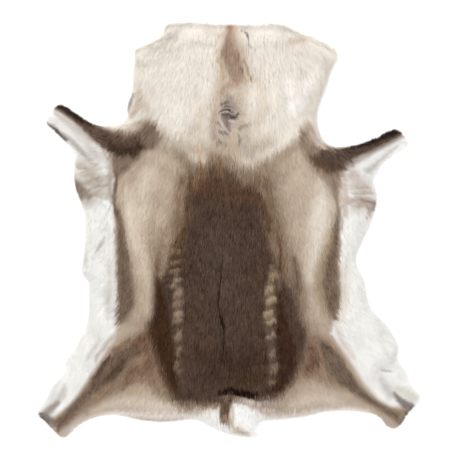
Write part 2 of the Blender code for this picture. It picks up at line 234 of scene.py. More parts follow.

# ---- The coat's colours. A patch is a closed shape and a stroke a path of x, y and half its width. soft is
# the width over which its edge fades, and strength how far it covers what is below it. Patches are painted
# first, then strokes and then rib marks, each sort from its first row to its last.
# Some strokes are painted shade: in the coat's folds, creases, troughs and seams, and along the belly's rim
# on the left.
BELLY = "ECEBE7"  # the colour below all the marks
Patch = namedtuple("Patch", "colour strength soft corners")
Stroke = namedtuple("Stroke", "colour strength soft path")
PATCHES = {
    "flanks and haunches": Patch("BCAA98", 1.0, 21, (
        (-350, 306), (-328, 330), (302, 330), (326, 240), (338, 174), (333, 6), (328, -36), (327, -96),
        (338, -210), (332, -234), (310, -267), (302, -309), (327, -345), (357, -384), (396, -450),
        (423, -483), (448, -508), (476, -526), (512, -537), (602, -540), (572, -660), (-598, -660),
        (-628, -570), (-522, -558), (-472, -524), (-350, -336), (-334, -285), (-333, -210), (-344, 75),
        (-344, 135), (-356, 201),
    )),
    "shoulders": Patch("B5A491", 0.9, 48, (
        (-304, 240), (-238, 330), (-88, 240), (136, 240), (236, 315), (316, 225), (316, 150),
        (212, 174), (122, 165), (-148, 180), (-238, 174), (-316, 135),
    )),
    "back halo": Patch("836E5C", 0.9, 78, (
        (-136, 216), (-74, 222), (46, 186), (98, 198), (134, 180), (188, -75), (230, -180), (232, -255),
        (266, -324), (268, -366), (212, -456), (164, -498), (98, -519), (8, -510), (-74, -531),
        (-148, -528), (-196, -510), (-238, -420), (-262, -324), (-238, -150), (-208, -96), (-160, 72),
    )),
    "dark back": Patch("4D3C32", 1.0, 36, (
        (-106, 132), (-52, 192), (-22, 192), (2, 174), (26, 144), (56, 126), (80, 120), (92, 102),
        (92, 60), (116, -42), (176, -174), (194, -198), (208, -264), (226, -300), (232, -336),
        (212, -414), (164, -483), (136, -507), (86, -510), (20, -498), (-22, -516), (-90, -519),
        (-142, -516), (-172, -504), (-184, -462), (-206, -432), (-237, -342), (-249, -300),
        (-237, -264), (-225, -228), (-224, -156), (-196, -138), (-154, -48), (-122, 36), (-118, 105),
    )),
    "neck": Patch("E6DFD4", 1.0, 24, (
        (-388, 690), (422, 690), (422, 510), (316, 390), (254, 306), (236, 324), (214, 303), (200, 276),
        (170, 249), (98, 204), (68, 189), (38, 192), (-10, 240), (-40, 246), (-76, 198), (-110, 204),
        (-136, 231), (-184, 255), (-202, 279), (-242, 354), (-266, 336), (-304, 300), (-352, 288),
        (-418, 312),
    )),
    "tail white": Patch("F5F4F2", 0.95, 21, (
        (-130, -570), (-104, -552), (-80, -542), (-22, -530), (14, -516), (50, -518), (116, -556),
        (164, -576), (212, -582), (182, -660), (-118, -660),
    )),
    "haunch left": Patch("86705C", 0.85, 39, (
        (-250, -303), (-202, -360), (-166, -486), (-208, -486), (-268, -462), (-316, -474),
        (-424, -543), (-484, -594), (-512, -591), (-514, -570), (-488, -552), (-454, -510),
        (-382, -399), (-344, -351), (-298, -318),
    )),
    "haunch right": Patch("8A725E", 0.8, 36, (
        (236, -312), (304, -330), (332, -366), (396, -488), (430, -516), (472, -540), (542, -528),
        (526, -564), (500, -591), (472, -573), (440, -534), (362, -483), (326, -474), (278, -459),
        (230, -444), (208, -450), (208, -420), (224, -390),
    )),
    "foreleg left": Patch("7D6A5C", 0.95, 21, (
        (-532, 396), (-490, 378), (-448, 354), (-388, 312), (-304, 285), (-268, 297), (-250, 321),
        (-220, 321), (-200, 276), (-224, 246), (-260, 225), (-338, 147), (-350, 180), (-351, 210),
        (-362, 228), (-376, 240), (-416, 273), (-458, 315), (-502, 351), (-538, 369),
    )),
    "foreleg right": Patch("8F7C6A", 0.95, 21, (
        (524, 318), (470, 303), (422, 276), (386, 264), (326, 261), (292, 243), (268, 243), (248, 255),
        (238, 276), (226, 294), (214, 297), (202, 264), (218, 228), (242, 192), (298, 120), (320, 81),
        (328, 108), (334, 150), (352, 189), (394, 222), (452, 254), (526, 285),
    )),
}
STROKES = {
    "flank left light": Stroke("D8CAB6", 0.9, 60, ((-290, 105, 9), (-286, 45, 15), (-256, -96, 9),
        (-244, -180, 6), (-244, -246, 6))),
    "flank left bright": Stroke("DFD4C3", 0.8, 36, ((-310, 120, 6), (-296, 12, 12), (-278, -54, 6))),
    "flank left middle": Stroke("A08C76", 0.6, 30, ((-232, 48, 6), (-230, 0, 12), (-232, -114, 9))),
    "waist left outer": Stroke("8A7661", 0.85, 42, ((-200, -6, 6), (-206, -54, 12), (-206, -102, 12))),
    "shoulder left light": Stroke("D5C8B6", 0.85, 54, ((-214, 204, 9), (-248, 156, 21), (-262, 108, 24),
        (-256, 54, 18))),
    "flank right light": Stroke("E2D9CC", 0.95, 60, ((278, 126, 12), (274, 75, 27), (268, 15, 30),
        (260, -39, 21), (248, -96, 12), (238, -150, 4))),
    "shoulder right light": Stroke("CBBAA9", 0.8, 54, ((208, 204, 12), (226, 156, 21), (238, 105, 21))),
    "shoulder right olive": Stroke("A08C76", 0.7, 42, ((104, 174, 9), (194, 240, 6))),
    "back middle grey": Stroke("54443B", 0.6, 72, ((-34, -18, 24), (-22, -96, 36), (-10, -180, 39))),
    "back lower": Stroke("3F2E24", 0.75, 90, ((-100, -360, 18), (-40, -396, 42), (32, -402, 48),
        (98, -378, 30))),
    "back bottom olive": Stroke("402E1C", 0.55, 36, ((14, -444, 12), (62, -444, 15), (104, -432, 9))),
    # painted shade: a dark line in the trough of the crease along the back
    "crease": Stroke("1E140E", 0.9, 7.8, ((-22, -114, 1.5), (-27, -153, 3), (-33, -189, 3.5),
        (-34, -228, 3.5), (-22, -267, 3.5), (-16, -300, 3.5), (-16, -336, 3.5), (-18, -369, 2.5),
        (-26, -399, 1.5))),
    "foreleg left white": Stroke("E4E0DC", 0.9, 15, ((-548, 333, 10), (-502, 309, 18), (-460, 276, 21),
        (-412, 240, 21), (-376, 210, 15))),
    "foreleg right white": Stroke("E8E7E4", 0.95, 15, ((524, 264, 14), (484, 249, 16), (442, 228, 18),
        (398, 201, 18), (362, 174, 15))),
    "throat edge right": Stroke("E7E1DD", 0.85, 18, ((260, 318, 9), (266, 282, 9), (286, 261, 6),
        (310, 252, 4))),
    "armpit right cream": Stroke("C9BEB4", 0.85, 36, ((368, 162, 18), (386, 132, 24), (404, 114, 24),
        (386, 72, 18))),
    "belly left shade": Stroke("E0DEDA", 0.8, 30, ((-376, 24, 9), (-364, -30, 12), (-358, -96, 6))),
    # painted shade: a grey band along the belly's rim on the left
    "belly left rim shade": Stroke("CFCCC5", 0.8, 18, ((-442, -30, 4), (-434, -72, 8), (-428, -120, 4))),
    # painted shade along the fold in the belly on the left
    "belly left fold shade": Stroke("B6B0AB", 0.75, 9, ((-394, -60, 2.5), (-386, -42, 4), (-374, -24, 2.5))),
    "belly right warm": Stroke("D3C6BF", 0.8, 21, ((322, -300, 7), (340, -339, 9), (370, -378, 7))),
    "belly left seam grey": Stroke("CFCAC2", 0.75, 21, ((-358, -96, 4), (-358, -165, 9),
        (-362, -225, 10), (-364, -264, 6))),
    "belly left haunch grey": Stroke("CFC8C1", 0.75, 18, ((-388, -330, 4), (-404, -354, 8),
        (-424, -381, 4))),
    # painted shade in the crease of the belly on the right
    "belly right fold shade": Stroke("AFAEAD", 0.8, 7.2, ((452, -418, 2), (464, -420, 3), (482, -423, 2))),
    "belly right cool": Stroke("BFBAB8", 0.75, 27, ((456, -450, 9), (471, -474, 14), (484, -494, 10))),
    "hind tip left light": Stroke("C6C2BE", 0.85, 18, ((-494, -471, 7), (-501, -495, 13),
        (-518, -516, 9))),
    "hind tip left upper": Stroke("DAD8D6", 0.8, 24, ((-518, -459, 6), (-526, -486, 10), (-544, -522, 9))),
    "hind tip left violet": Stroke("938780", 0.85, 18, ((-516, -519, 7), (-532, -534, 11),
        (-550, -548, 12), (-564, -555, 6))),
    "hind tip left white": Stroke("EFEEEC", 0.9, 10.5, ((-472, -489, 5), (-490, -513, 6),
        (-508, -532, 5), (-520, -543, 2.5))),
    "hind tip left brown": Stroke("7B7067", 0.9, 13.5, ((-568, -552, 5), (-548, -564, 11),
        (-526, -579, 11))),
    "hind tip left heel": Stroke("C4B7AE", 0.85, 24, ((-494, -612, 9), (-472, -591, 11), (-440, -561, 9))),
    "hind tip left spot": Stroke("5A4A43", 0.85, 12, ((-508, -567, 3.5), (-510, -588, 7),
        (-514, -603, 4))),
    "hind tip left edge": Stroke("574C46", 0.85, 9, ((-573, -556, 2.5), (-555, -568, 3),
        (-542, -588, 3.5), (-526, -604, 4))),
    "hind tip right dark": Stroke("7A6F6B", 0.9, 15, ((494, -489, 3.5), (508, -507, 9), (530, -525, 12),
        (544, -526, 9))),
    "hind tip right pad": Stroke("D6D2C8", 0.85, 18, ((502, -477, 8), (530, -490, 15), (550, -504, 14))),
    "hind tip right edge": Stroke("60544F", 0.85, 12, ((548, -531, 3), (536, -548, 6), (524, -567, 7),
        (512, -582, 5))),
    "hind tip right heel": Stroke("BBADA3", 0.8, 24, ((464, -558, 6), (482, -576, 10), (496, -588, 6))),
    "tail white right": Stroke("F7F6F4", 0.95, 15, ((28, -537, 10), (44, -558, 19), (62, -579, 16),
        (82, -600, 10), (98, -621, 6))),
    "tail grey": Stroke("CFC0B9", 0.85, 15, ((44, -513, 3.5), (74, -524, 6), (104, -538, 9),
        (140, -549, 9))),
    "tail stripe": Stroke("5F4A3A", 0.95, 12, ((-10, -498, 12), (-10, -522, 16), (-14, -540, 15),
        (-16, -564, 12))),
    "tail stripe top": Stroke("776359", 0.85, 12, ((-12, -496, 7), (-9, -512, 8))),
    "tail stripe corner": Stroke("5A4436", 0.85, 12, ((9, -498, 3.5), (3, -510, 5))),
    "tail stripe fade": Stroke("A88E7C", 0.85, 12, ((-12, -562, 10), (-2, -576, 8))),
    "tail stripe side": Stroke("CDC0B2", 0.8, 12, ((8, -528, 5), (8, -573, 6))),
    "tail stripe tip": Stroke("BAAC9A", 0.85, 12, ((-2, -582, 5), (14, -592, 7), (34, -603, 7),
        (56, -610, 5))),
    "neck left bright": Stroke("F0EBE2", 0.7, 66, ((-190, 405, 15), (-160, 375, 24), (-142, 315, 21))),
    "neck right bright": Stroke("F0EBE2", 0.7, 66, ((116, 405, 18), (146, 354, 18))),
    "neck top left grey": Stroke("C0BAAF", 0.8, 30, ((-142, 597, 6), (-172, 570, 12), (-202, 546, 12),
        (-232, 531, 12))),
    "neck top middle": Stroke("D0C4B8", 0.75, 27, ((-70, 594, 9), (-34, 576, 12), (46, 591, 9),
        (62, 576, 6))),
    "neck edge left olive": Stroke("8F8C7F", 0.8, 10.2, ((-292, 405, 6), (-302, 378, 8), (-308, 357, 6))),
    "neck left pinkish": Stroke("C6B6A7", 0.8, 42, ((-262, 408, 3), (-254, 372, 9), (-242, 336, 9))),
    "neck right brown": Stroke("BDA899", 0.75, 24, ((176, 552, 6), (200, 558, 10), (220, 561, 10))),
    "neck top tone": Stroke("CDC6BE", 0.85, 24, ((-184, 615, 12), (-88, 615, 15), (-44, 612, 12),
        (46, 609, 12), (122, 609, 15), (212, 591, 12))),
    "neck right tone": Stroke("D8CAB9", 0.65, 48, ((80, 450, 9), (100, 408, 18), (104, 366, 18),
        (82, 318, 15), (82, 282, 15))),
    "neck right outer": Stroke("F6F3EF", 0.7, 42, ((170, 456, 9), (188, 408, 18), (190, 366, 18),
        (266, 480, 9))),
    "neck low left": Stroke("CABAA6", 0.65, 48, ((-136, 282, 12), (-94, 306, 15), (-80, 354, 9))),
    "neck left side": Stroke("BCAA9A", 0.7, 24, ((-272, 408, 6), (-272, 372, 10), (-290, 342, 6))),
    "neck foot shade": Stroke("A79680", 0.85, 78, ((-202, 282, 3), (-160, 252, 9), (-118, 240, 18),
        (-22, 234, 30), (80, 240, 18), (116, 258, 9))),
    "neck foot left": Stroke("92806B", 0.75, 30, ((-160, 234, 3), (-136, 219, 9), (-118, 204, 6))),
    "nape under tone": Stroke("BFAC99", 0.8, 48, ((4, 618, 6), (4, 564, 27), (10, 516, 45),
        (14, 462, 45), (2, 420, 45), (-4, 378, 51), (-4, 336, 54), (2, 294, 60), (8, 258, 57))),
    "neck middle cool": Stroke("B5B0A4", 0.6, 27, ((50, 312, 6), (44, 270, 9), (44, 234, 9))),
    "nape stripe fade": Stroke("BCA692", 0.85, 21, ((4, 630, 11), (3, 576, 16), (2, 534, 26),
        (14, 492, 30), (26, 453, 22))),
    "nape stripe": Stroke("9A8471", 0.85, 18, ((2, 612, 6), (2, 582, 10), (-2, 558, 13), (-2, 528, 20),
        (12, 495, 23), (22, 456, 18))),
    "nape stripe pink": Stroke("CBA28C", 0.85, 15, ((14, 624, 6), (14, 603, 6), (12, 585, 3))),
    "nape strand left": Stroke("BBA27E", 0.7, 8.4, ((-38, 513, 2), (-27, 498, 4), (-20, 471, 6),
        (-19, 441, 5))),
    "nape strand right": Stroke("A08E74", 0.78, 8.4, ((44, 507, 2.5), (52, 483, 4), (58, 462, 5),
        (65, 448, 2.5))),
    "nape strand foot": Stroke("C39C6D", 0.8, 7.2, ((50, 446, 1.5), (64, 446, 2.5), (80, 446, 1))),
    "nape bridge": Stroke("B29A83", 0.75, 12, ((32, 441, 3.5), (10, 435, 7), (-10, 426, 7),
        (-28, 408, 8))),
    "nape bridge light": Stroke("D2C8B4", 0.8, 12, ((2, 411, 4), (20, 408, 6), (34, 411, 3))),
    "nape fleck 1": Stroke("786457", 0.8, 6, ((-10, 558, 2.5), (-3, 562, 3), (4, 566, 1))),
    "nape fleck 2": Stroke("8A6E55", 0.8, 6, ((-26, 516, 2), (-20, 526, 3), (-10, 532, 1.5))),
    "nape fleck 3": Stroke("79684C", 0.8, 6, ((26, 526, 2), (28, 518, 2.5), (26, 504, 2.5))),
    "nape fleck 4": Stroke("6B5654", 0.8, 6, ((30, 483, 2), (38, 482, 2.5), (38, 468, 2))),
    "whorl fade": Stroke("B4A69A", 0.8, 21, ((2, 393, 10), (4, 369, 23), (-3, 330, 24), (-14, 288, 18))),
    "whorl left wash": Stroke("B19E90", 0.7, 21, ((-44, 354, 3), (-48, 318, 10), (-46, 282, 11),
        (-34, 246, 8))),
    "nape foot wash": Stroke("B3A89D", 0.7, 24, ((34, 264, 6), (52, 240, 10), (68, 213, 11))),
    "whorl grey": Stroke("A09389", 0.8, 15, ((2, 390, 10), (2, 369, 17), (-3, 345, 20), (-8, 321, 11))),
    "whorl cone": Stroke("7D6E64", 0.8, 10.8, ((-16, 339, 7), (-8, 318, 8), (2, 291, 2))),
    "whorl dark": Stroke("605350", 0.8, 10.8, ((-21, 344, 3.5), (-2, 341, 8), (16, 334, 5))),
    "whorl arc 1": Stroke("5A4C42", 0.8, 5.4, ((-28, 376, 1.5), (-14, 378, 2.5), (0, 380, 1))),
    "whorl arc 2": Stroke("4A3E36", 0.85, 6, ((-30, 351, 2), (-18, 358, 3), (-2, 359, 2.5),
        (10, 352, 1.5))),
    "whorl arc 3": Stroke("453834", 0.85, 6, ((6, 333, 2), (18, 336, 2.5), (28, 349, 2))),
    "whorl ripple 1": Stroke("83736A", 0.8, 5.4, ((-24, 395, 1.5), (-8, 397, 2))),
    "whorl ripple 2": Stroke("786960", 0.8, 5.4, ((-26, 386, 1.5), (-6, 387, 2))),
    "whorl ripple 3": Stroke("67594F", 0.85, 5.4, ((-28, 367, 1.5), (-10, 369, 2.5), (4, 366, 1))),
    "whorl light 1": Stroke("D2C9C1", 0.8, 5.4, ((-26, 350, 1), (-8, 352, 2), (6, 347, 1))),
    "whorl light 2": Stroke("D6CECA", 0.8, 5.4, ((-2, 325, 1), (15, 323, 2.5), (26, 327, 1))),
    "whorl light 3": Stroke("CFC5BB", 0.8, 6, ((-34, 332, 1.5), (-21, 316, 2), (-10, 300, 1.5))),
    "whorl foot 1": Stroke("5E5046", 0.85, 6, ((-33, 290, 1.5), (-14, 290, 2.5), (0, 280, 2))),
    "whorl foot 2": Stroke("85705C", 0.8, 7.2, ((-42, 322, 2), (-34, 316, 3), (-26, 310, 2))),
    "whorl foot 3": Stroke("8A7863", 0.8, 9, ((-51, 270, 2.5), (-38, 278, 2))),
    "whorl foot 4": Stroke("71604F", 0.85, 7.2, ((-38, 255, 2), (-30, 262, 3.5), (-20, 256, 2.5),
        (-8, 253, 1.5))),
    "whorl green": Stroke("8B8474", 0.8, 9, ((30, 302, 4), (45, 310, 4), (64, 316, 2))),
    "whorl green low": Stroke("7C7667", 0.8, 7.8, ((28, 280, 2), (32, 267, 3.5), (27, 249, 2))),
    "whorl green right": Stroke("968E87", 0.8, 7.2, ((38, 273, 1.5), (50, 274, 2.5), (58, 270, 1))),
    "tongue peach": Stroke("CDB69F", 0.8, 24, ((-94, 240, 9), (-82, 216, 9))),
    "nape fleck right 2": Stroke("7C7265", 0.75, 4.8, ((56, 561, 1), (58, 549, 1.5), (68, 540, 1))),
    "top fleck 1": Stroke("A9A299", 0.7, 5.4, ((82, 615, 1), (98, 614, 1.5))),
    "top fleck 2": Stroke("AAA6A5", 0.7, 5.4, ((128, 615, 1), (134, 612, 1))),
    "nape fleck right 1": Stroke("564E55", 0.85, 4.8, ((36, 591, 1), (49, 584, 2), (56, 567, 2.5))),
    "side stripe left fade": Stroke("93806C", 0.85, 36, ((-332, 66, 4), (-308, -165, 28),
        (-304, -219, 28), (-314, -264, 18))),
    "side stripe left": Stroke("6A584B", 0.9, 21, ((-338, 72, 1.5), (-328, 36, 10), (-322, -36, 12),
        (-312, -165, 23), (-310, -219, 25), (-320, -249, 17), (-328, -273, 6))),
    "side stripe right fade": Stroke("98866F", 0.85, 36, ((321, 42, 2), (290, -114, 28),
        (290, -180, 33), (297, -228, 26), (308, -264, 9))),
    "side stripe right": Stroke("6E5C4E", 0.9, 21, ((324, 90, 1), (326, 48, 2.5), (322, 6, 7),
        (317, -39, 12), (310, -78, 16), (303, -120, 20), (303, -159, 22), (306, -201, 22),
        (310, -234, 16), (314, -264, 6))),
    # painted shade: a grey strip along the seam on the right, beside the belly
    "seam shade right": Stroke("DBCEC2", 0.8, 18, ((344, -96, 5), (345, -165, 8), (344, -225, 8),
        (332, -282, 6))),
    "haunch left band": Stroke("665447", 0.85, 27, ((-238, -345, 12), (-286, -360, 20),
        (-326, -387, 24), (-358, -417, 24), (-418, -483, 12), (-482, -548, 12), (-506, -576, 13))),
    "haunch left dark": Stroke("4F3E30", 0.85, 24, ((-320, -396, 5), (-332, -414, 12), (-350, -435, 12),
        (-368, -453, 6))),
    "haunch left upper": Stroke("523E37", 0.85, 12, ((-358, -381, 5), (-376, -402, 6), (-388, -423, 7),
        (-404, -444, 5))),
    "haunch left top edge": Stroke("75604C", 0.75, 15, ((-298, -330, 6), (-322, -345, 7),
        (-344, -360, 6))),
    "haunch left fade": Stroke("B9AEA4", 0.8, 18, ((-352, -321, 7), (-400, -384, 6))),
    "haunch left top": Stroke("6B4E3C", 0.8, 24, ((-238, -312, 6), (-262, -324, 12), (-286, -348, 9))),
    "haunch left middle": Stroke("745E4D", 0.85, 24, ((-292, -417, 10), (-302, -444, 14),
        (-316, -471, 7))),
    "haunch left brown": Stroke("745847", 0.8, 36, ((-238, -330, 15), (-238, -372, 20),
        (-244, -408, 18), (-268, -420, 9))),
    "haunch left tan": Stroke("B09C84", 0.8, 36, ((-238, -474, 9), (-334, -504, 9))),
    "haunch left band pale": Stroke("D8CABC", 0.85, 36, ((-412, -543, 6), (-370, -525, 11),
        (-316, -516, 14), (-262, -516, 15), (-214, -525, 15), (-166, -540, 15))),
    "haunch left rim": Stroke("F0EAE4", 0.85, 24, ((-466, -603, 6), (-412, -570, 7), (-340, -550, 10),
        (-268, -549, 11), (-194, -555, 11), (-118, -555, 12), (-64, -552, 12))),
    "haunch right band": Stroke("68584B", 0.85, 18, ((274, -336, 9), (296, -369, 20), (316, -402, 28),
        (338, -435, 24), (368, -465, 15), (404, -496, 10), (442, -522, 8), (500, -558, 10))),
    "haunch right brown": Stroke("6C5040", 0.85, 36, ((248, -360, 12), (254, -396, 18), (230, -423, 12))),
    "haunch right band pale": Stroke("D3C4B4", 0.85, 36, ((188, -528, 9), (218, -513, 13),
        (254, -507, 17), (296, -510, 18), (416, -549, 6))),
    "haunch right rim": Stroke("F2ECE6", 0.85, 24, ((98, -564, 9), (176, -556, 10), (248, -544, 9),
        (338, -540, 10), (410, -552, 8))),
    "rump fade right": Stroke("AB9E93", 0.85, 15, ((38, -507, 5), (80, -508, 5), (116, -516, 7),
        (148, -516, 8))),
    "neck foot brown": Stroke("8A745F", 0.75, 24, ((-58, 216, 9), (-22, 207, 12), (8, 207, 6))),
    "neck foot": Stroke("B09C85", 0.7, 36, ((38, 192, 6), (68, 186, 9), (122, 216, 3))),
    "back upper brown": Stroke("6C5440", 0.85, 54, ((-100, 138, 15), (-58, 168, 15), (-22, 162, 12),
        (32, 126, 9), (80, 132, 9))),
    "back upper red": Stroke("563E2D", 0.75, 42, ((-80, 126, 12), (-46, 111, 24), (-4, 105, 30),
        (38, 99, 27), (68, 90, 15))),
    "back upper left": Stroke("7F6852", 0.8, 33, ((-140, 150, 9), (-152, 114, 10), (-152, 60, 10),
        (-158, 6, 12))),
    "back upper left inner": Stroke("57402D", 0.8, 24, ((-116, 162, 4), (-120, 120, 9), (-130, 18, 10),
        (-140, -30, 6))),
    "back upper right": Stroke("76604C", 0.8, 42, ((110, 126, 9), (148, -30, 9))),
    "back upper right inner": Stroke("503A2C", 0.8, 24, ((88, 102, 6), (99, 66, 13), (112, 30, 13),
        (118, -6, 7))),
    "back tuft mid": Stroke("735840", 0.85, 21, ((-88, 201, 3.5), (-80, 156, 9))),
    "back tuft right": Stroke("7F644E", 0.8, 24, ((-34, 210, 6), (-28, 168, 12))),
    "waist left": Stroke("5A4432", 0.8, 39, ((-140, -6, 9), (-152, -48, 16), (-172, -138, 9))),
    "waist left low": Stroke("6A5645", 0.8, 24, ((-214, -78, 4), (-216, -111, 9), (-219, -144, 9))),
    "rib bed left": Stroke("786457", 0.9, 18, ((-158, -132, 7), (-154, -180, 15), (-153, -225, 15),
        (-153, -270, 12))),
    # painted shade: dark lines in the troughs beside the left rib marks, across the waist
    "waist trough shade 1": Stroke("55422C", 0.9, 10.5, ((-178, -51, 2), (-154, -39, 4), (-124, -27, 2.5))),
    "waist trough shade 2": Stroke("55422C", 0.9, 10.5, ((-182, -87, 2), (-160, -76, 4), (-128, -63, 2.5))),
    "waist trough shade 3": Stroke("523E29", 0.9, 10.5, ((-178, -117, 2), (-158, -110, 4), (-130, -99, 2.5))),
    "rib bed left low": Stroke("614E3E", 0.85, 18, ((-152, -294, 10), (-150, -345, 10), (-153, -405, 8),
        (-140, -450, 5))),
    "rib bed right": Stroke("7B6854", 0.9, 18, ((128, -114, 9), (120, -180, 14), (118, -270, 15))),
    "rib bed right low": Stroke("655247", 0.85, 18, ((120, -294, 13), (128, -414, 10), (122, -450, 5))),
    "inner stripe left": Stroke("3C281A", 0.95, 21, ((-214, -144, 2.5), (-204, -216, 15),
        (-202, -258, 20), (-206, -306, 31), (-195, -360, 29), (-189, -402, 27), (-164, -480, 12))),
    "outer left brown": Stroke("6A5442", 0.7, 21, ((-220, -354, 4), (-213, -390, 8), (-196, -432, 8),
        (-182, -468, 5))),
    "inner stripe right": Stroke("3C281D", 0.95, 18, ((147, -174, 2.5), (150, -210, 7), (153, -246, 12),
        (156, -276, 16), (165, -324, 25), (171, -366, 27), (171, -408, 22), (158, -450, 15),
        (134, -477, 9))),
    "waist right": Stroke("715A45", 0.8, 36, ((146, -30, 9), (160, -120, 12))),
    "waist right outer": Stroke("6D5B4C", 0.85, 24, ((190, -84, 6), (200, -126, 12), (201, -171, 13),
        (201, -219, 7))),
    "waist right inner": Stroke("826B59", 0.75, 21, ((138, -123, 5), (146, -150, 8), (148, -177, 4))),
    "waist right light": Stroke("C0AE9F", 0.75, 24, ((242, -162, 6), (244, -210, 10), (242, -264, 7))),
    "waist line right": Stroke("4E3829", 0.8, 9, ((147, -24, 2), (154, -60, 2.5), (154, -90, 2.5),
        (150, -123, 2.5))),
    "foreleg right fade": Stroke("A89A91", 0.8, 15, ((524, 282, 3.5), (440, 240, 7), (398, 216, 7),
        (362, 192, 7))),
    "foreleg left band": Stroke("56443A", 0.95, 21, ((-514, 370, 7), (-460, 334, 10), (-406, 296, 19),
        (-370, 270, 21), (-334, 255, 24), (-304, 249, 24), (-278, 261, 18))),
    "foreleg left fade": Stroke("B3A499", 0.8, 15, ((-524, 351, 3), (-502, 336, 5), (-476, 315, 6),
        (-442, 291, 6), (-412, 264, 5))),
    "foreleg left heel": Stroke("3D2E24", 0.9, 18, ((-352, 243, 10), (-320, 236, 15), (-292, 237, 15),
        (-262, 246, 11))),
    "foreleg left edge": Stroke("271E18", 0.92, 13.5, ((-518, 381, 8), (-464, 348, 10), (-436, 332, 9),
        (-412, 318, 6))),
    "foreleg left grey": Stroke("ABA49C", 0.85, 15, ((-532, 312, 6), (-508, 288, 7), (-484, 273, 8),
        (-452, 243, 9), (-416, 207, 7), (-400, 195, 4))),
    "foreleg left rim": Stroke("473C35", 0.92, 7.8, ((-552, 322, 2.5), (-536, 310, 2.5), (-519, 296, 5),
        (-504, 282, 4), (-490, 268, 2))),
    "foreleg left shade": Stroke("CBC4BF", 0.8, 24, ((-508, 342, 6), (-436, 273, 11), (-412, 240, 11),
        (-388, 216, 9))),
    "foreleg right band": Stroke("4F4037", 0.95, 18, ((518, 297, 7), (482, 280, 14), (416, 250, 17),
        (382, 237, 16), (320, 207, 25), (280, 210, 23))),
    "foreleg right heel": Stroke("5A4638", 0.9, 24, ((248, 213, 9), (272, 195, 14), (302, 182, 14),
        (334, 186, 12))),
    "foreleg right under": Stroke("C2BCB5", 0.8, 15, ((506, 252, 3), (484, 234, 6), (460, 213, 7),
        (436, 192, 8), (410, 177, 7))),
    "foreleg right edge": Stroke("241A15", 0.92, 13.5, ((524, 304, 8), (484, 291, 10), (454, 278, 10),
        (424, 266, 9), (392, 255, 7), (350, 248, 4))),
    "seam left": Stroke("5C4A3C", 0.8, 9, ((-339, 174, 2.5), (-339, 138, 5), (-344, 108, 7),
        (-344, 78, 7), (-336, 42, 5))),
    # painted shade along the seam on the left
    "seam shade strip left": Stroke("A6988B", 0.75, 12, ((-378, 234, 4), (-360, 198, 7), (-358, 156, 8),
        (-357, 108, 7), (-352, 81, 2.5))),
    # painted shade along the seam on the right
    "seam shade strip right": Stroke("C5B5A7", 0.8, 13.5, ((344, 159, 5), (348, 90, 10), (346, 42, 6))),
    "armpit left grey": Stroke("B9AC9E", 0.85, 48, ((-442, 192, 15), (-412, 162, 24), (-388, 126, 24),
        (-424, 90, 15))),
    # painted shade in the folds of the armpit on the left
    "armpit left fold shade 2": Stroke("AA9C8F", 0.7, 12, ((-448, 138, 3.5), (-410, 144, 4), (-386, 159, 3),
        (-352, 156, 3))),
    "armpit left fold shade 3": Stroke("B0A398", 0.65, 12, ((-412, 120, 3), (-382, 132, 3.5), (-352, 138, 3.5))),
    "armpit left brown": Stroke("7A6658", 0.9, 21, ((-464, 156, 5), (-450, 129, 12), (-442, 102, 8))),
    # painted shade in a fold of the armpit on the right
    "armpit right fold shade 2": Stroke("BDB2A8", 0.6, 9, ((362, 111, 2), (398, 114, 2.5), (428, 111, 2))),
    "armpit right fade": Stroke("C2B0A3", 0.75, 24, ((346, 87, 8), (374, 87, 12), (410, 78, 11))),
    "armpit right brown": Stroke("8A6E60", 0.85, 15, ((398, 87, 2.5), (435, 81, 7), (428, 63, 6))),
    "armpit right rim": Stroke("A89284", 0.8, 12, ((410, 72, 4), (418, 57, 6), (410, 33, 4))),
    "armpit left spot": Stroke("8C7A6B", 0.75, 18, ((-448, 126, 4), (-430, 117, 9), (-418, 102, 5))),
    # painted shade: the darkest line, in the crease at the tail's root under the back's lower edge
    "back lower edge shade": Stroke("190D06", 0.97, 8.4, ((-32, -483, 2.5), (-14, -481, 7), (4, -478, 8),
        (20, -483, 8), (38, -488, 10), (58, -491, 10), (80, -491, 5))),
    "throat rim left": Stroke("CFC4BA", 0.8, 15, ((-304, 308, 5), (-286, 307, 7), (-272, 312, 3.5))),
    "throat rim right": Stroke("D3C7BE", 0.8, 15, ((244, 288, 4), (262, 260, 7), (284, 242, 5))),
    # painted shade along the upper part of the seam on the right
    "upper seam shade right": Stroke("B8AA9E", 0.75, 12, ((336, 42, 3), (338, 18, 5), (335, -9, 3))),
}

# ---- The finishes.
NOISE_ENDS = (0.3, 0.7)  # noise hardly ever leaves these
BUMP_STRENGTH = 0.6

# ---- The view and the light.
PHOTO_WIDTH = 1374.0  # what the picture's width spans on the floor
LENS = 120.0
SENSOR = 36.0
VIEW_MIDDLE = (-1.5, 3.0)
SKY = 1.17
KEY_POWER = 65.0  # watts
KEY_SIZE = 3.2  # metres, as the key light's place is
KEY_PLACE = (-1.3, 1.9, 3.0)
FLOOR_SIZE = 9000.0
FLOOR_BELOW = 0.4  # so far the floor lies under the hide, so that the two never touch


def rgb(colour):
    """The red, green and blue of a hex colour, from 0 to 1."""
    return np.array([int(colour[i : i + 2], 16) for i in (0, 2, 4)]) / 255


def linear(colour):
    """Linear red, green and blue of an sRGB colour: a hex text, or an array from 0 to 1."""
    values = rgb(colour) if isinstance(colour, str) else colour
    return np.where(values <= 0.04045, values / 12.92, ((values + 0.055) / 1.055) ** 2.4)


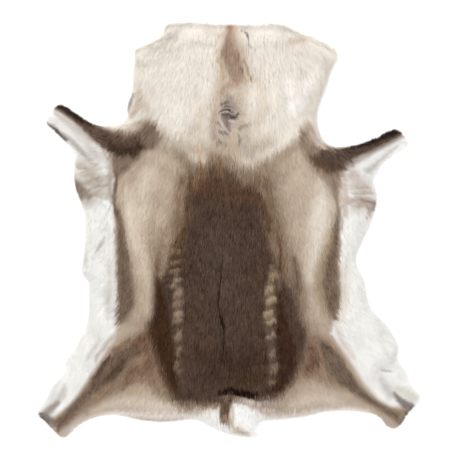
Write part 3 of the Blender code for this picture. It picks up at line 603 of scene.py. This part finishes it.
def add(tree, kind, inputs=None, **settings):
    """Adds a node. Settings are its properties, and inputs gives its sockets their values or links, by name
    or, where a name stands for several sockets, by number."""
    made = tree.nodes.new(kind)
    for name, value in settings.items():
        setattr(made, name, value)
    for socket, value in (inputs or {}).items():
        target = made.inputs[socket]
        if isinstance(value, bpy.types.NodeSocket):
            tree.links.new(value, target)
        else:
            target.default_value = value
    return made


def placed(name, data):
    """A new object in the scene, at the origin."""
    made = bpy.data.objects.new(name, data)
    bpy.context.scene.collection.objects.link(made)
    return made


def worked_in(made):
    """The plain mesh of an object, with its modifiers worked in."""
    ready = made.evaluated_get(bpy.context.evaluated_depsgraph_get())
    return bpy.data.meshes.new_from_object(ready)


def eased(share):
    """A share from 0 to 1, with soft ends."""
    share = np.clip(share, 0.0, 1.0)
    return share * share * (3 - 2 * share)


def unit(vectors):
    """Vectors of the same directions, all 1 long."""
    return vectors / np.maximum(np.linalg.norm(vectors, axis=1, keepdims=True), 1e-9)


def turned(vectors, angle):
    """Vectors in plan, each turned anticlockwise by its own angle."""
    x, y = vectors.T
    return np.column_stack([x * np.cos(angle) - y * np.sin(angle), x * np.sin(angle) + y * np.cos(angle)])


# ---- Chance over the hide: values on a grid of cells that repeats past what the hide spans. Each use has
# its own seed, and the ways of the lie and of the shade go on counting from theirs.
CELLS = 256
LIE_SEED, LENGTH_SEED, TUFT_SEED, COLOUR_SEED, SHADE_SEED, PUCKER_SEED = 1, 3, 4, 5, 6, 9


def patchy(points, size, seed):
    """Smooth chance values from -1 to 1 that change over about size millimetres."""
    table = np.random.default_rng(seed).uniform(-1, 1, (CELLS, CELLS))
    place = points[:, :2] / size
    cell = np.floor(place).astype(int)
    x, y = eased(place - cell).T
    (left, low), (right, high) = (cell % CELLS).T, ((cell + 1) % CELLS).T
    below = table[left, low] * (1 - x) + table[right, low] * x
    above = table[left, high] * (1 - x) + table[right, high] * x
    return below * (1 - y) + above * y


def tufts(points, size, seed):
    """The middle of the tuft that each point belongs to, and that tuft's own chance value from -1 to 1."""
    table = np.random.default_rng(seed).uniform(-1, 1, (CELLS, CELLS, 3))
    home = np.floor(points / size).astype(int)
    nearest = np.full(len(points), np.inf)
    middles, chances = np.empty((len(points), 2)), np.empty(len(points))
    for step in np.ndindex(3, 3):
        cell = home + step - 1
        chance = table[cell[:, 0] % CELLS, cell[:, 1] % CELLS]
        middle = (cell + 0.5 + TUFT_STRAY * chance[:, :2]) * size
        away = ((points - middle) ** 2).sum(axis=1)
        nearer = away < nearest
        nearest[nearer], middles[nearer], chances[nearer] = away[nearer], middle[nearer], chance[nearer, 2]
    return middles, chances


# ---- Paths and shapes in plan.
def path_distance(points, path):
    """How far each point lies outside a path whose rows are x, y and half the width there."""
    found = np.full(len(points), np.inf)
    for start, end in zip(path[:-1], path[1:]):
        run = end[:2] - start[:2]
        share = np.clip((points - start[:2]) @ run / (run @ run), 0, 1)
        away = np.linalg.norm(points - start[:2] - share[:, None] * run, axis=1)
        found = np.minimum(found, away - start[2] - share * (end[2] - start[2]))
    return found


def shape_distance(points, corners):
    """How far each point lies outside a closed shape, less than 0 within it."""
    loop = np.vstack([corners, corners[:1]])
    inside = np.zeros(len(points), bool)
    for start, end in zip(loop[:-1], loop[1:]):
        spans = (start[1] > points[:, 1]) != (end[1] > points[:, 1])
        crossing = start[0] + (points[:, 1] - start[1]) / (end[1] - start[1] or 1) * (end[0] - start[0])
        inside ^= spans & (points[:, 0] < crossing)
    edge = path_distance(points, np.column_stack([loop, np.zeros(len(loop))]))
    return np.where(inside, -edge, edge)


def rib_path(rib):
    """A rib mark as a short, wide path that climbs to the right."""
    narrow = RIB_ROUND * min(rib.half_width, rib.half_height)
    across, up = rib.half_width - narrow, rib.half_height - narrow
    return ((rib.x - across, rib.y - up, narrow), (rib.x + across, rib.y + up, narrow))


def cover(outside, soft):
    """How far a mark covers the points that lie so far outside it."""
    return eased(0.5 - outside / soft)


def paint(points):
    """The coat's colour at each point, as sRGB from 0 to 1."""
    colour = np.tile(rgb(BELLY), (len(points), 1))
    for patch in PATCHES.values():
        outside = shape_distance(points, np.array(patch.corners, float))
        share = patch.strength * cover(outside, patch.soft)[:, None]
        colour += share * (rgb(patch.colour) - colour)
    strokes = list(STROKES.values())
    strokes += [Stroke(rib.colour, RIB_STRENGTH, RIB_SOFT, rib_path(rib)) for rib in RIBS]
    for stroke in strokes:
        path = np.array(stroke.path, float)
        reach = path[:, 2].max() + stroke.soft
        low, high = path[:, :2].min(axis=0) - reach, path[:, :2].max(axis=0) + reach
        near = np.flatnonzero(((points > low) & (points < high)).all(axis=1))
        share = stroke.strength * cover(path_distance(points[near], path), stroke.soft)[:, None]
        colour[near] += share * (rgb(stroke.colour) - colour[near])
    return colour


def relief(points):
    """How far creases and rib marks raise or lower the coat at each point."""
    height = np.zeros(len(points))
    for crease in CREASES.values():
        path = np.column_stack([np.array(crease.path, float), np.zeros(len(crease.path))])
        share = np.clip(1 - path_distance(points, path) / crease.half_width, 0, 1)
        height += crease.height * eased(share)
    for rib in RIBS:
        outside = path_distance(points, np.array(rib_path(rib), float))
        height += RIB_HEIGHT * cover(outside, RIB_SOFT)
    return height


# ---- The slab of the frame.
def slab_shape(node):
    """The slab as one merged shape, in millimetres."""
    shape = bmesh.new()
    shape.from_mesh(node.data)
    bmesh.ops.scale(shape, vec=Vector((1, 1, 1)) / MM, verts=shape.verts)
    bmesh.ops.remove_doubles(shape, verts=shape.verts, dist=SAME_PLACE)
    shape.normal_update()
    return shape


def rim_of(shape):
    """The slab's rim in plan, anticlockwise: the gaps between its locks, and the locks' tips."""
    after = {}
    for face in shape.faces:
        if face.normal.z > FACING_DOWN:
            for loop in face.loops:
                here, there = loop.vert, loop.link_loop_next.vert
                if max(here.co.z, there.co.z) < SAME_PLACE:
                    after[here] = there
    first = next(iter(after))
    rim, here = [], first
    while not rim or here is not first:
        rim.append(here.co.xy)
        here = after[here]
    rim = np.array(rim)
    if area_of(rim) < 0:
        rim = rim[::-1]
    if area_of(rim[0::2]) > area_of(rim[1::2]):
        rim = np.roll(rim, -1, axis=0)
    return rim[0::2], rim[1::2]


def area_of(loop):
    """A closed loop's area, more than 0 where it runs anticlockwise."""
    x, y = loop.T
    return 0.5 * (x * np.roll(y, -1) - np.roll(x, -1) * y).sum()


def outward_of(loop):
    """Unit vectors that point out of an anticlockwise loop."""
    along = unit(np.roll(loop, -1, axis=0) - np.roll(loop, 1, axis=0))
    return np.column_stack([along[:, 1], -along[:, 0]])


def drawn_in(loop, inset, steps):
    """A smooth loop that lies inset inside a loop, with so many steps between two of its points."""
    inner = loop - outward_of(loop) * inset
    inner = (np.roll(inner, 1, axis=0) + 2 * inner + np.roll(inner, -1, axis=0)) / 4
    points = []
    for before, here, after, beyond in zip(
        np.roll(inner, 1, axis=0), inner, np.roll(inner, -1, axis=0), np.roll(inner, -2, axis=0)
    ):
        knots = [Vector(p) for p in (here, here + (after - before) / 6, after - (beyond - here) / 6, after)]
        points += interpolate_bezier(*knots, steps + 1)[:-1]
    return np.array(points)[:, :2]


def filled(loop, pitch):
    """The points and faces of a flat net of triangles about pitch wide that fills a loop."""
    low, high = loop.min(axis=0), loop.max(axis=0)
    rows = np.arange(low[1], high[1], pitch * math.sqrt(3) / 2)
    columns = np.arange(low[0], high[0], pitch)
    grid = np.array([(x + pitch / 2 * (i % 2), y) for i, y in enumerate(rows) for x in columns])
    grid = grid[shape_distance(grid, loop) < -NET_CLEAR * pitch]
    plan = [Vector(point) for point in np.vstack([loop, grid])]
    edges = [(i, (i + 1) % len(loop)) for i in range(len(loop))]
    points, _, faces, _, _, _ = delaunay_2d_cdt(plan, edges, [], 1, NET_EXACT)
    return np.array(points), faces


def slab_top(points, shape):
    """The slab's top above each point."""
    tree = BVHTree.FromBMesh(shape)
    down = Vector((0, 0, -1))
    hits = [tree.ray_cast(Vector((x, y, ABOVE_SLAB)), down)[0] for x, y in points]
    return np.array([hit.z if hit else 0.0 for hit in hits])


# ---- Meshes.
def new_mesh(name, points, faces):
    """A smooth mesh from points in millimetres."""
    mesh = bpy.data.meshes.new(name)
    mesh.from_pydata(points * MM, [], faces)
    mesh.shade_smooth()
    return mesh


def give(mesh, name, kind, values):
    """Stores a value for each point of a mesh. A colour is given without its alpha."""
    layer = mesh.attributes.new(name, kind, "POINT")
    field = {"FLOAT": "value", "FLOAT_COLOR": "color"}.get(kind, "vector")
    if field == "color":
        values = np.column_stack([values, np.ones(len(values))])
    layer.data.foreach_set(field, np.ascontiguousarray(values, np.float32).ravel())


def take(mesh, name):
    """The x, y and z that a mesh stores for each point under a name, such as its place in metres."""
    found = np.empty(len(mesh.vertices) * 3, np.float32)
    mesh.attributes[name].data.foreach_get("vector", found)
    return found.reshape(-1, 3).astype(float)


def grown(name, source, tree, sizes):
    """The plain mesh that a tree of Geometry Nodes makes of a mesh."""
    carrier = placed(name, source)
    modifier = carrier.modifiers.new(tree.name, "NODES")
    modifier.node_group = tree
    for item in tree.interface.items_tree:
        if item.name in sizes:
            modifier[item.identifier] = sizes[item.name]
    mesh = worked_in(carrier)
    bpy.data.objects.remove(carrier)
    return mesh


def new_tree(name, inputs):
    """A tree of Geometry Nodes, its named inputs, and the socket that takes its result."""
    tree = bpy.data.node_groups.new(name, "GeometryNodeTree")
    for socket, kind in inputs.items():
        tree.interface.new_socket(socket, in_out="INPUT", socket_type="NodeSocket" + kind)
    tree.interface.new_socket("Geometry", in_out="OUTPUT", socket_type="NodeSocketGeometry")
    return tree, tree.nodes.new("NodeGroupInput").outputs, tree.nodes.new("NodeGroupOutput").inputs[0]


def roots_tree():
    """Scatters the roots of the hairs evenly over the bed, each with the way out of the skin there."""
    tree, sizes, result = new_tree("hair roots", {"Geometry": "Geometry", "Spacing": "Float", "Seed": "Int"})
    scattered = add(tree, "GeometryNodeDistributePointsOnFaces", {
        "Mesh": sizes["Geometry"], "Distance Min": sizes["Spacing"], "Density Max": HAIRS_MOST,
        "Seed": sizes["Seed"],
    }, distribute_method="POISSON")
    marked = add(tree, "GeometryNodeStoreNamedAttribute", {
        "Geometry": scattered.outputs["Points"], "Name": "out of skin", "Value": scattered.outputs["Normal"],
    }, data_type="FLOAT_VECTOR")
    points = add(tree, "GeometryNodePointsToVertices", {"Points": marked.outputs[0]})
    tree.links.new(points.outputs[0], result)
    return tree


def hair_tree(material):
    """Sets one blade of hair on each root, turned along its own direction and rolled a little by chance."""
    tree, sizes, result = new_tree("guard hair", {
        "Geometry": "Geometry", "Blade": "Object", "Hair Width": "Float", "Roll": "Float", "Seed": "Int",
    })

    def stored(name, kind):
        """What each root or corner stores under a name."""
        return add(tree, "GeometryNodeInputNamedAttribute", {"Name": name}, data_type=kind).outputs[0]

    def varied(size, low, high, offset):
        """A size times chance from low to high, for each hair. Each use has its own offset to the seed."""
        seed = add(tree, "ShaderNodeMath", {0: sizes["Seed"], 1: float(offset)})
        chance = add(tree, "FunctionNodeRandomValue", {2: low, 3: high, 8: seed.outputs[0]})
        return add(tree, "ShaderNodeMath", {0: size, 1: chance.outputs[1]}, operation="MULTIPLY").outputs[0]

    length = stored("hair length", "FLOAT")
    along = add(tree, "FunctionNodeAxesToRotation", {
        0: stored("hair direction", "FLOAT_VECTOR"), 1: stored("out of skin", "FLOAT_VECTOR"),
    }, primary_axis="Y", secondary_axis="Z")
    angle = varied(sizes["Roll"], -1.0, 1.0, 0)
    roll = add(tree, "FunctionNodeAxisAngleToRotation", {0: (0, 1, 0), 1: angle})
    rolled = add(tree, "FunctionNodeRotateRotation", {
        0: along.outputs[0], 1: roll.outputs[0],
    }, rotation_space="LOCAL")
    width = varied(sizes["Hair Width"], 1 - HAIR_WIDE_SPREAD, 1 + HAIR_WIDE_SPREAD, 1)
    scale = add(tree, "ShaderNodeCombineXYZ", {0: width, 1: length, 2: length})
    blade = add(tree, "GeometryNodeObjectInfo", {"Object": sizes["Blade"]})
    hairs = add(tree, "GeometryNodeInstanceOnPoints", {
        "Points": sizes["Geometry"], "Instance": blade.outputs["Geometry"], "Rotation": rolled.outputs[0],
        "Scale": scale.outputs[0],
    })
    real = add(tree, "GeometryNodeRealizeInstances", {"Geometry": hairs.outputs[0]})
    spot = add(tree, "ShaderNodeCombineXYZ", {0: stored("across", "FLOAT"), 1: stored("along", "FLOAT")})
    inset = add(tree, "ShaderNodeVectorMath", {
        0: spot.outputs[0], 1: stored("cell size", "FLOAT_VECTOR"), 2: stored("cell", "FLOAT_VECTOR"),
    }, operation="MULTIPLY_ADD")
    mapped = add(tree, "GeometryNodeStoreNamedAttribute", {
        "Geometry": real.outputs[0], "Name": "OFBake", "Value": inset.outputs[0],
    }, data_type="FLOAT2", domain="CORNER")
    dressed = add(tree, "GeometryNodeSetMaterial", {"Geometry": mapped.outputs[0], "Material": material})
    tree.links.new(dressed.outputs[0], result)
    return tree


# ---- The hair.
def coat_at(points):
    """The way the hair lies, its length and its rise, blended from the places around each point."""
    total, weights = np.zeros((len(points), 4)), np.zeros((len(points), 1))
    for place in COAT.values():
        away = ((points - (place.x, place.y)) ** 2).sum(axis=1, keepdims=True) / place.reach**2
        weight = np.exp(-away) + FAR_PLACES / (1 + away)
        total += weight * (place.across, place.along, place.length, place.rise)
        weights += weight
    total /= weights
    return unit(total[:, :2]), total[:, 2], total[:, 3]


def whorled(points, lie):
    """The lie of the hair with the nape's whorl worked in, and how much of its length it keeps there."""
    away = points - WHORL
    radius = np.linalg.norm(away, axis=1, keepdims=True)
    out = away / np.maximum(radius, 1)
    share = np.exp(-((radius / WHORL_REACH) ** 2))
    lie = unit(lie + share * (WHORL_TURN * turned(out, math.pi / 2) + WHORL_OUT * out))
    return lie, 1 - WHORL_SHORT * share[:, 0]


def nearest_of(places, points):
    """For each point, which of the places is nearest."""
    tree = KDTree(len(places))
    for i, (x, y) in enumerate(places):
        tree.insert((x, y, 0), i)
    tree.balance()
    return np.array([tree.find((x, y, 0))[1] for x, y in points])


def combed(roots, gaps, tips):
    """Where each hair points in plan and how long it is, and how steeply it rises."""
    rng = np.random.default_rng(SEED)
    lie, length, rise = coat_at(roots)
    lie, kept = whorled(roots, lie)
    for seed, (degrees, wide) in enumerate(LIE_SWAYS, LIE_SEED):
        lie = turned(lie, np.radians(degrees * patchy(roots, wide, seed)))
    spread = HAIR_LENGTH_SPREAD * rng.uniform(-1, 1, len(roots))
    sway, wide = LENGTH_SWAY
    length = length * kept * (1 + spread + sway * patchy(roots, wide, LENGTH_SEED))

    edge = drawn_in(gaps, 0.0, STEPS["hair"])
    nearest = nearest_of(edge, roots)
    out = outward_of(edge)[nearest]
    inside = ((edge[nearest] - roots) * out).sum(axis=1)
    band = np.where((lie * out).sum(axis=1) > RIM_INWARDS, RIM_BAND, RIM_BACK_BAND)
    turning = RIM_TURN * eased(1 - inside / band)[:, None]
    lie = unit(lie * (1 - turning) + out * turning)
    to_lock = unit(tips[nearest_of(tips, roots)] - roots)
    gathering = RIM_LOCK * turning * ((to_lock * lie).sum(axis=1, keepdims=True) > 0)
    lie = unit(lie * (1 - gathering) + to_lock * gathering)
    leaving = np.maximum((lie * out).sum(axis=1), RIM_LEAVING)
    room = (np.maximum(inside, 0) + RIM_OVER * rng.uniform(*RIM_UNEVEN, len(roots))) / leaving
    length = np.minimum(length, room)
    rise = rise * np.clip(inside / RIM_BAND, RIM_FLATTER, 1)

    middles, chances = tufts(roots, TUFT, TUFT_SEED)
    gathered = (middles - roots) * TUFT_PULL * np.clip(length / TUFT_LONG, 0, 1)[:, None]
    stray = rng.normal(0, HAIR_STRAY, (len(roots), 2)) * length[:, None]
    reach = lie * length[:, None] + gathered + stray
    return unit(reach), np.linalg.norm(reach, axis=1), rise, chances


def hair_colour(roots, lie, length, tuft_chance):
    """Each hair's own colour, linear."""
    rng = np.random.default_rng(SEED + 1)
    together = patchy(roots * (1, COLOUR_STRAY_NARROW), COLOUR_STRAY_WIDE, COLOUR_SEED)
    wander = COLOUR_AT + COLOUR_STRAY * (rng.normal(0, COLOUR_STRAY_ALONE, len(roots)) + together)
    colour = linear(paint(roots + lie * (length * wander)[:, None]))
    dark = eased(1 - colour.mean(axis=1) / DARK_BELOW)
    shade = HAIR_SHADE * rng.normal(0, 1, len(roots)) + TUFT_SHADE * tuft_chance
    for seed, (wide, longer) in enumerate(PATCH_SIZES, SHADE_SEED):
        shade += PATCH_SHADE * patchy(roots / (1, longer), wide, seed)
    shade = 1 + shade * (1 + DARK_CONTRAST * dark)
    shade += PALE_LIFT * (rng.uniform(0, 1, len(roots)) < PALE_HAIRS) * dark
    return np.clip(colour * shade[:, None], *COLOUR_ENDS)


def blade():
    """One blade of hair, 1 m long along y and 1 m wide, that rises and bends over to a level point."""
    points = [(side * wide / 2, y, z) for y, wide, z in BLADE for side in (-1, 1)] + [(0, 1, 0)]
    mesh = new_mesh("blade", np.array(points) / MM, [(0, 1, 3, 2), (2, 3, 4)])
    root, middle, tip = CELL_ALONG
    left, centre, right = CELL_ACROSS
    give(mesh, "along", "FLOAT", [root, root, middle, middle, tip])
    give(mesh, "across", "FLOAT", [left, right, left, right, centre])
    return placed("blade", mesh)


def rooted(bed):
    """Where hair grows on the bed, in rows from the neck down, and the way out of the skin there."""
    scattered = grown("roots", bed, roots_tree(), {"Spacing": HAIR_SPACING * MM, "Seed": SEED})
    places, out_of_skin = take(scattered, "position") / MM, take(scattered, "out of skin")
    kept = np.random.default_rng(SEED).permutation(len(places))[:HAIRS]
    places, out_of_skin = places[kept], out_of_skin[kept]
    order = np.lexsort((places[:, 0], np.round(-places[:, 1] / TUFT)))
    return places[order], out_of_skin[order]


def risen(lie, rise, out_of_skin):
    """The direction of each hair, from the way it lies and its angle off the skin."""
    flat = np.column_stack([lie, np.zeros(len(lie))])
    on_skin = unit(flat - out_of_skin * (flat * out_of_skin).sum(axis=1, keepdims=True))
    direction = unit(on_skin + out_of_skin * np.tan(np.radians(rise))[:, None])
    direction[:, 2] = np.minimum(direction[:, 2], STEEPEST)
    return direction


def cells(count):
    """The cells of the map made for baking, one for each of so many hairs: their corners and their size.
    They lie in rows and are higher than wide."""
    columns = math.ceil(math.sqrt(2 * count))
    rows = math.ceil(count / columns)
    number = np.arange(count)
    corners = np.column_stack([number % columns / columns, number // columns / rows, 0 * number])
    return corners, np.tile((1 / columns, 1 / rows, 0), (count, 1))


def grow_hair(bed, gaps, tips):
    """The guard hair, in pieces from the neck to the haunches."""
    places, out_of_skin = rooted(bed)
    roots = places[:, :2]
    lie, length, rise, tuft_chance = combed(roots, gaps, tips)
    colour = hair_colour(roots, lie, length, tuft_chance)
    direction = risen(lie, rise, out_of_skin)

    tree, shape = hair_tree(hair_material()), blade()
    pieces = []
    for name, part in zip(HAIR_PIECES, np.array_split(np.arange(len(roots)), len(HAIR_PIECES))):
        source = new_mesh(name, places[part], [])
        corners, cell_size = cells(len(part))
        give(source, "cell", "FLOAT_VECTOR", corners)
        give(source, "cell size", "FLOAT_VECTOR", cell_size)
        give(source, "hair direction", "FLOAT_VECTOR", direction[part])
        give(source, "out of skin", "FLOAT_VECTOR", out_of_skin[part])
        give(source, "hair length", "FLOAT", length[part] * MM)
        give(source, "hair colour", "FLOAT_COLOR", colour[part])
        mesh = grown(name, source, tree, {
            "Blade": shape, "Hair Width": HAIR_WIDE * MM, "Roll": math.radians(HAIR_ROLL), "Seed": SEED,
        })
        for spent in ("cell", "cell size", "hair direction", "out of skin", "hair length", "across"):
            mesh.attributes.remove(mesh.attributes[spent])
        lifted = take(mesh, "position")
        lifted[:, 2] = np.maximum(lifted[:, 2], HAIR_FLOOR * MM)
        mesh.attributes["position"].data.foreach_set("vector", lifted.astype(np.float32).ravel())
        pieces.append(placed(name, mesh))
    bpy.data.objects.remove(shape)
    return pieces


# ---- The skin and the bed.
def underfur(gaps, shape):
    """The bed of underfur: the slab's top, evened out, with the creases and rib marks worked in."""
    points, faces = filled(drawn_in(gaps, BED_INSET, STEPS["bed"]), BED_PITCH)
    pairs = np.array([(a, b) for face in faces for a, b in zip(face, face[1:] + face[:1])])
    height = slab_top(points, shape)
    count = np.bincount(pairs[:, 0], minlength=len(points)) + 1
    for _ in range(SMOOTHINGS):
        height = (height + np.bincount(pairs[:, 0], height[pairs[:, 1]], len(points))) / count
    height = np.maximum(height - PILE + relief(points), BED_LEAST)
    mesh = new_mesh("underfur", np.column_stack([points, height]), faces)
    colour = linear(paint(points))
    pale = eased(colour.mean(axis=1, keepdims=True) / UNDERFUR_PALE_FROM)
    colour *= UNDERFUR_SHADE + (1 - UNDERFUR_SHADE) * pale
    give(mesh, "hair colour", "FLOAT_COLOR", colour)
    mesh.materials.append(underfur_material())
    return placed("underfur", mesh)


def skin(outline):
    """The tanned skin: a thin sheet with a cut edge that lies on the floor, and soft puckers inside it."""
    points, faces = filled(outline, SKIN_PITCH)
    inside = eased(-shape_distance(points, outline) / PUCKER_FROM)
    lift = PUCKER_HIGH * inside * np.maximum(patchy(points, PUCKER_WIDE, PUCKER_SEED), 0)
    mesh = new_mesh("skin", np.column_stack([points, SKIN_THICK + lift]), faces)
    mesh.materials.append(skin_material())
    made = placed("skin", mesh)
    solid = made.modifiers.new("thickness", "SOLIDIFY")
    solid.thickness = SKIN_THICK * MM
    solid.offset = -1
    made.data = worked_in(made)
    made.modifiers.clear()
    return made


# ---- Materials.
def new_material(name):
    """A material and its tree."""
    material = bpy.data.materials.new(name)
    material.use_nodes = True
    return material, material.node_tree


def noise_scale(wide):
    """The scale of a noise whose spots are so many millimetres wide. At scale 1 they are half a metre."""
    return 0.5 / (wide * MM)


def dress(tree, colour, pattern, brightness, roughness, gloss, depth=0.0):
    """Gives a surface its colour, darker and brighter with a pattern. If that has a depth, it is a noise
    and also raises bumps so deep."""
    surface = tree.nodes["Principled BSDF"]
    low, high = NOISE_ENDS if depth else (0.0, 1.0)
    bright = add(tree, "ShaderNodeMapRange", {
        "Value": pattern, 1: low, 2: high, 3: brightness[0], 4: brightness[1],
    })
    shaded = add(tree, "ShaderNodeVectorMath", {0: colour, "Scale": bright.outputs[0]}, operation="SCALE")
    tree.links.new(shaded.outputs[0], surface.inputs["Base Color"])
    surface.inputs["Roughness"].default_value = roughness
    surface.inputs["Specular IOR Level"].default_value = gloss
    if depth:
        bump = add(tree, "ShaderNodeBump", {
            "Height": pattern, "Distance": depth * MM, "Strength": BUMP_STRENGTH,
        })
        tree.links.new(bump.outputs[0], surface.inputs["Normal"])


def hair_material():
    """Reindeer guard hair, dry, hollow and straight: matt, darker at its root and paler at its tip; the
    darker root is painted shade from the hair lying over it.
    """
    material, tree = new_material("reindeer guard hair")
    colour = add(tree, "ShaderNodeAttribute", attribute_name="hair colour")
    along = add(tree, "ShaderNodeAttribute", attribute_name="along")
    # the blade darkens towards its root: painted shade
    dress(tree, colour.outputs["Color"], along.outputs["Fac"], brightness=(0.83, 0.965), roughness=0.8,
          gloss=0.03)
    return material


def underfur_material():
    """Reindeer underfur, crimped and woolly: matt, in crimps about 2 mm wide and 1 mm deep."""
    material, tree = new_material("reindeer underfur")
    colour = add(tree, "ShaderNodeAttribute", attribute_name="hair colour")
    place = add(tree, "ShaderNodeTexCoord")
    crimps = add(tree, "ShaderNodeTexNoise", {
        "Vector": place.outputs["Object"], "Scale": noise_scale(2.0), "Detail": 3.0,
    })
    dress(tree, colour.outputs["Color"], crimps.outputs[0], brightness=(0.8, 1.0), roughness=0.95,
          gloss=0.1, depth=1.0)
    return material


def skin_material():
    """Alum-tanned reindeer skin, scraped and buffed on its flesh side: pale and matt, in patches about
    70 mm wide, with a short nap of spots 1.5 mm wide and 0.4 mm deep."""
    material, tree = new_material("tanned reindeer skin")
    place = add(tree, "ShaderNodeTexCoord")
    patches, nap = [
        add(tree, "ShaderNodeTexNoise", {
            "Vector": place.outputs["Object"], "Scale": noise_scale(wide), "Detail": detail,
        }) for wide, detail in ((70.0, 4.0), (1.5, 2.0))
    ]
    tone = add(tree, "ShaderNodeMixRGB", {
        0: patches.outputs[0], 1: (*linear("C3B296"), 1), 2: (*linear("E3D8C4"), 1),
    })
    dress(tree, tone.outputs[0], nap.outputs[0], brightness=(0.86, 1.06), roughness=0.92, gloss=0.2,
          depth=0.4)
    return material


def floor_material():
    """A plain painted floor, nearly white."""
    material, tree = new_material("white floor")
    surface = tree.nodes["Principled BSDF"]
    surface.inputs["Base Color"].default_value = (*linear("F6F6F5"), 1)
    surface.inputs["Roughness"].default_value = 0.9
    return material


# ---- The stage.
def set_floor():
    """A plain floor that reaches far past the picture."""
    half = FLOOR_SIZE / 2
    corners = np.array([(-half, -half, 0), (half, -half, 0), (half, half, 0), (-half, half, 0)])
    floor = placed("floor", new_mesh("floor", corners, [(0, 1, 2, 3)]))
    floor.data.materials.append(floor_material())
    floor.location.z = -FLOOR_BELOW * MM


def set_camera():
    """The camera, straight above."""
    lens = bpy.data.cameras.new("camera")
    lens.lens = LENS
    lens.sensor_width = SENSOR
    camera = placed("camera", lens)
    camera.location = (VIEW_MIDDLE[0] * MM, VIEW_MIDDLE[1] * MM, PHOTO_WIDTH * LENS / SENSOR * MM)
    bpy.context.scene.camera = camera


def set_lights():
    """Soft studio light: a large lamp on the neck's left, and an even white sky."""
    lamp = bpy.data.lights.new("key", "AREA")
    lamp.size = KEY_SIZE
    lamp.energy = KEY_POWER
    key = placed("key", lamp)
    key.location = KEY_PLACE
    key.rotation_euler = (-Vector(KEY_PLACE)).to_track_quat("-Z", "Y").to_euler()

    world = bpy.data.worlds.new("studio")
    world.use_nodes = True
    sky = world.node_tree.nodes["Background"]
    sky.inputs["Color"].default_value = (1, 1, 1, 1)
    sky.inputs["Strength"].default_value = SKY
    bpy.context.scene.world = world
    bpy.context.scene.view_settings.view_transform = "Standard"


def main():
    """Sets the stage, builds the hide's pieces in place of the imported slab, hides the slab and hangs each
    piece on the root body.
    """
    set_floor()
    set_camera()
    set_lights()
    shape = slab_shape(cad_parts["hide"])
    gaps, tips = rim_of(shape)
    outline = drawn_in(gaps, SKIN_INSET, STEPS["skin"])
    hide_skin = skin(outline)
    bed = underfur(gaps, shape)
    hairs = grow_hair(bed.data, gaps, tips)
    shape.free()

    for piece in (hide_skin, bed, *hairs):
        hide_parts("hide")
        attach(piece, "root")


main()
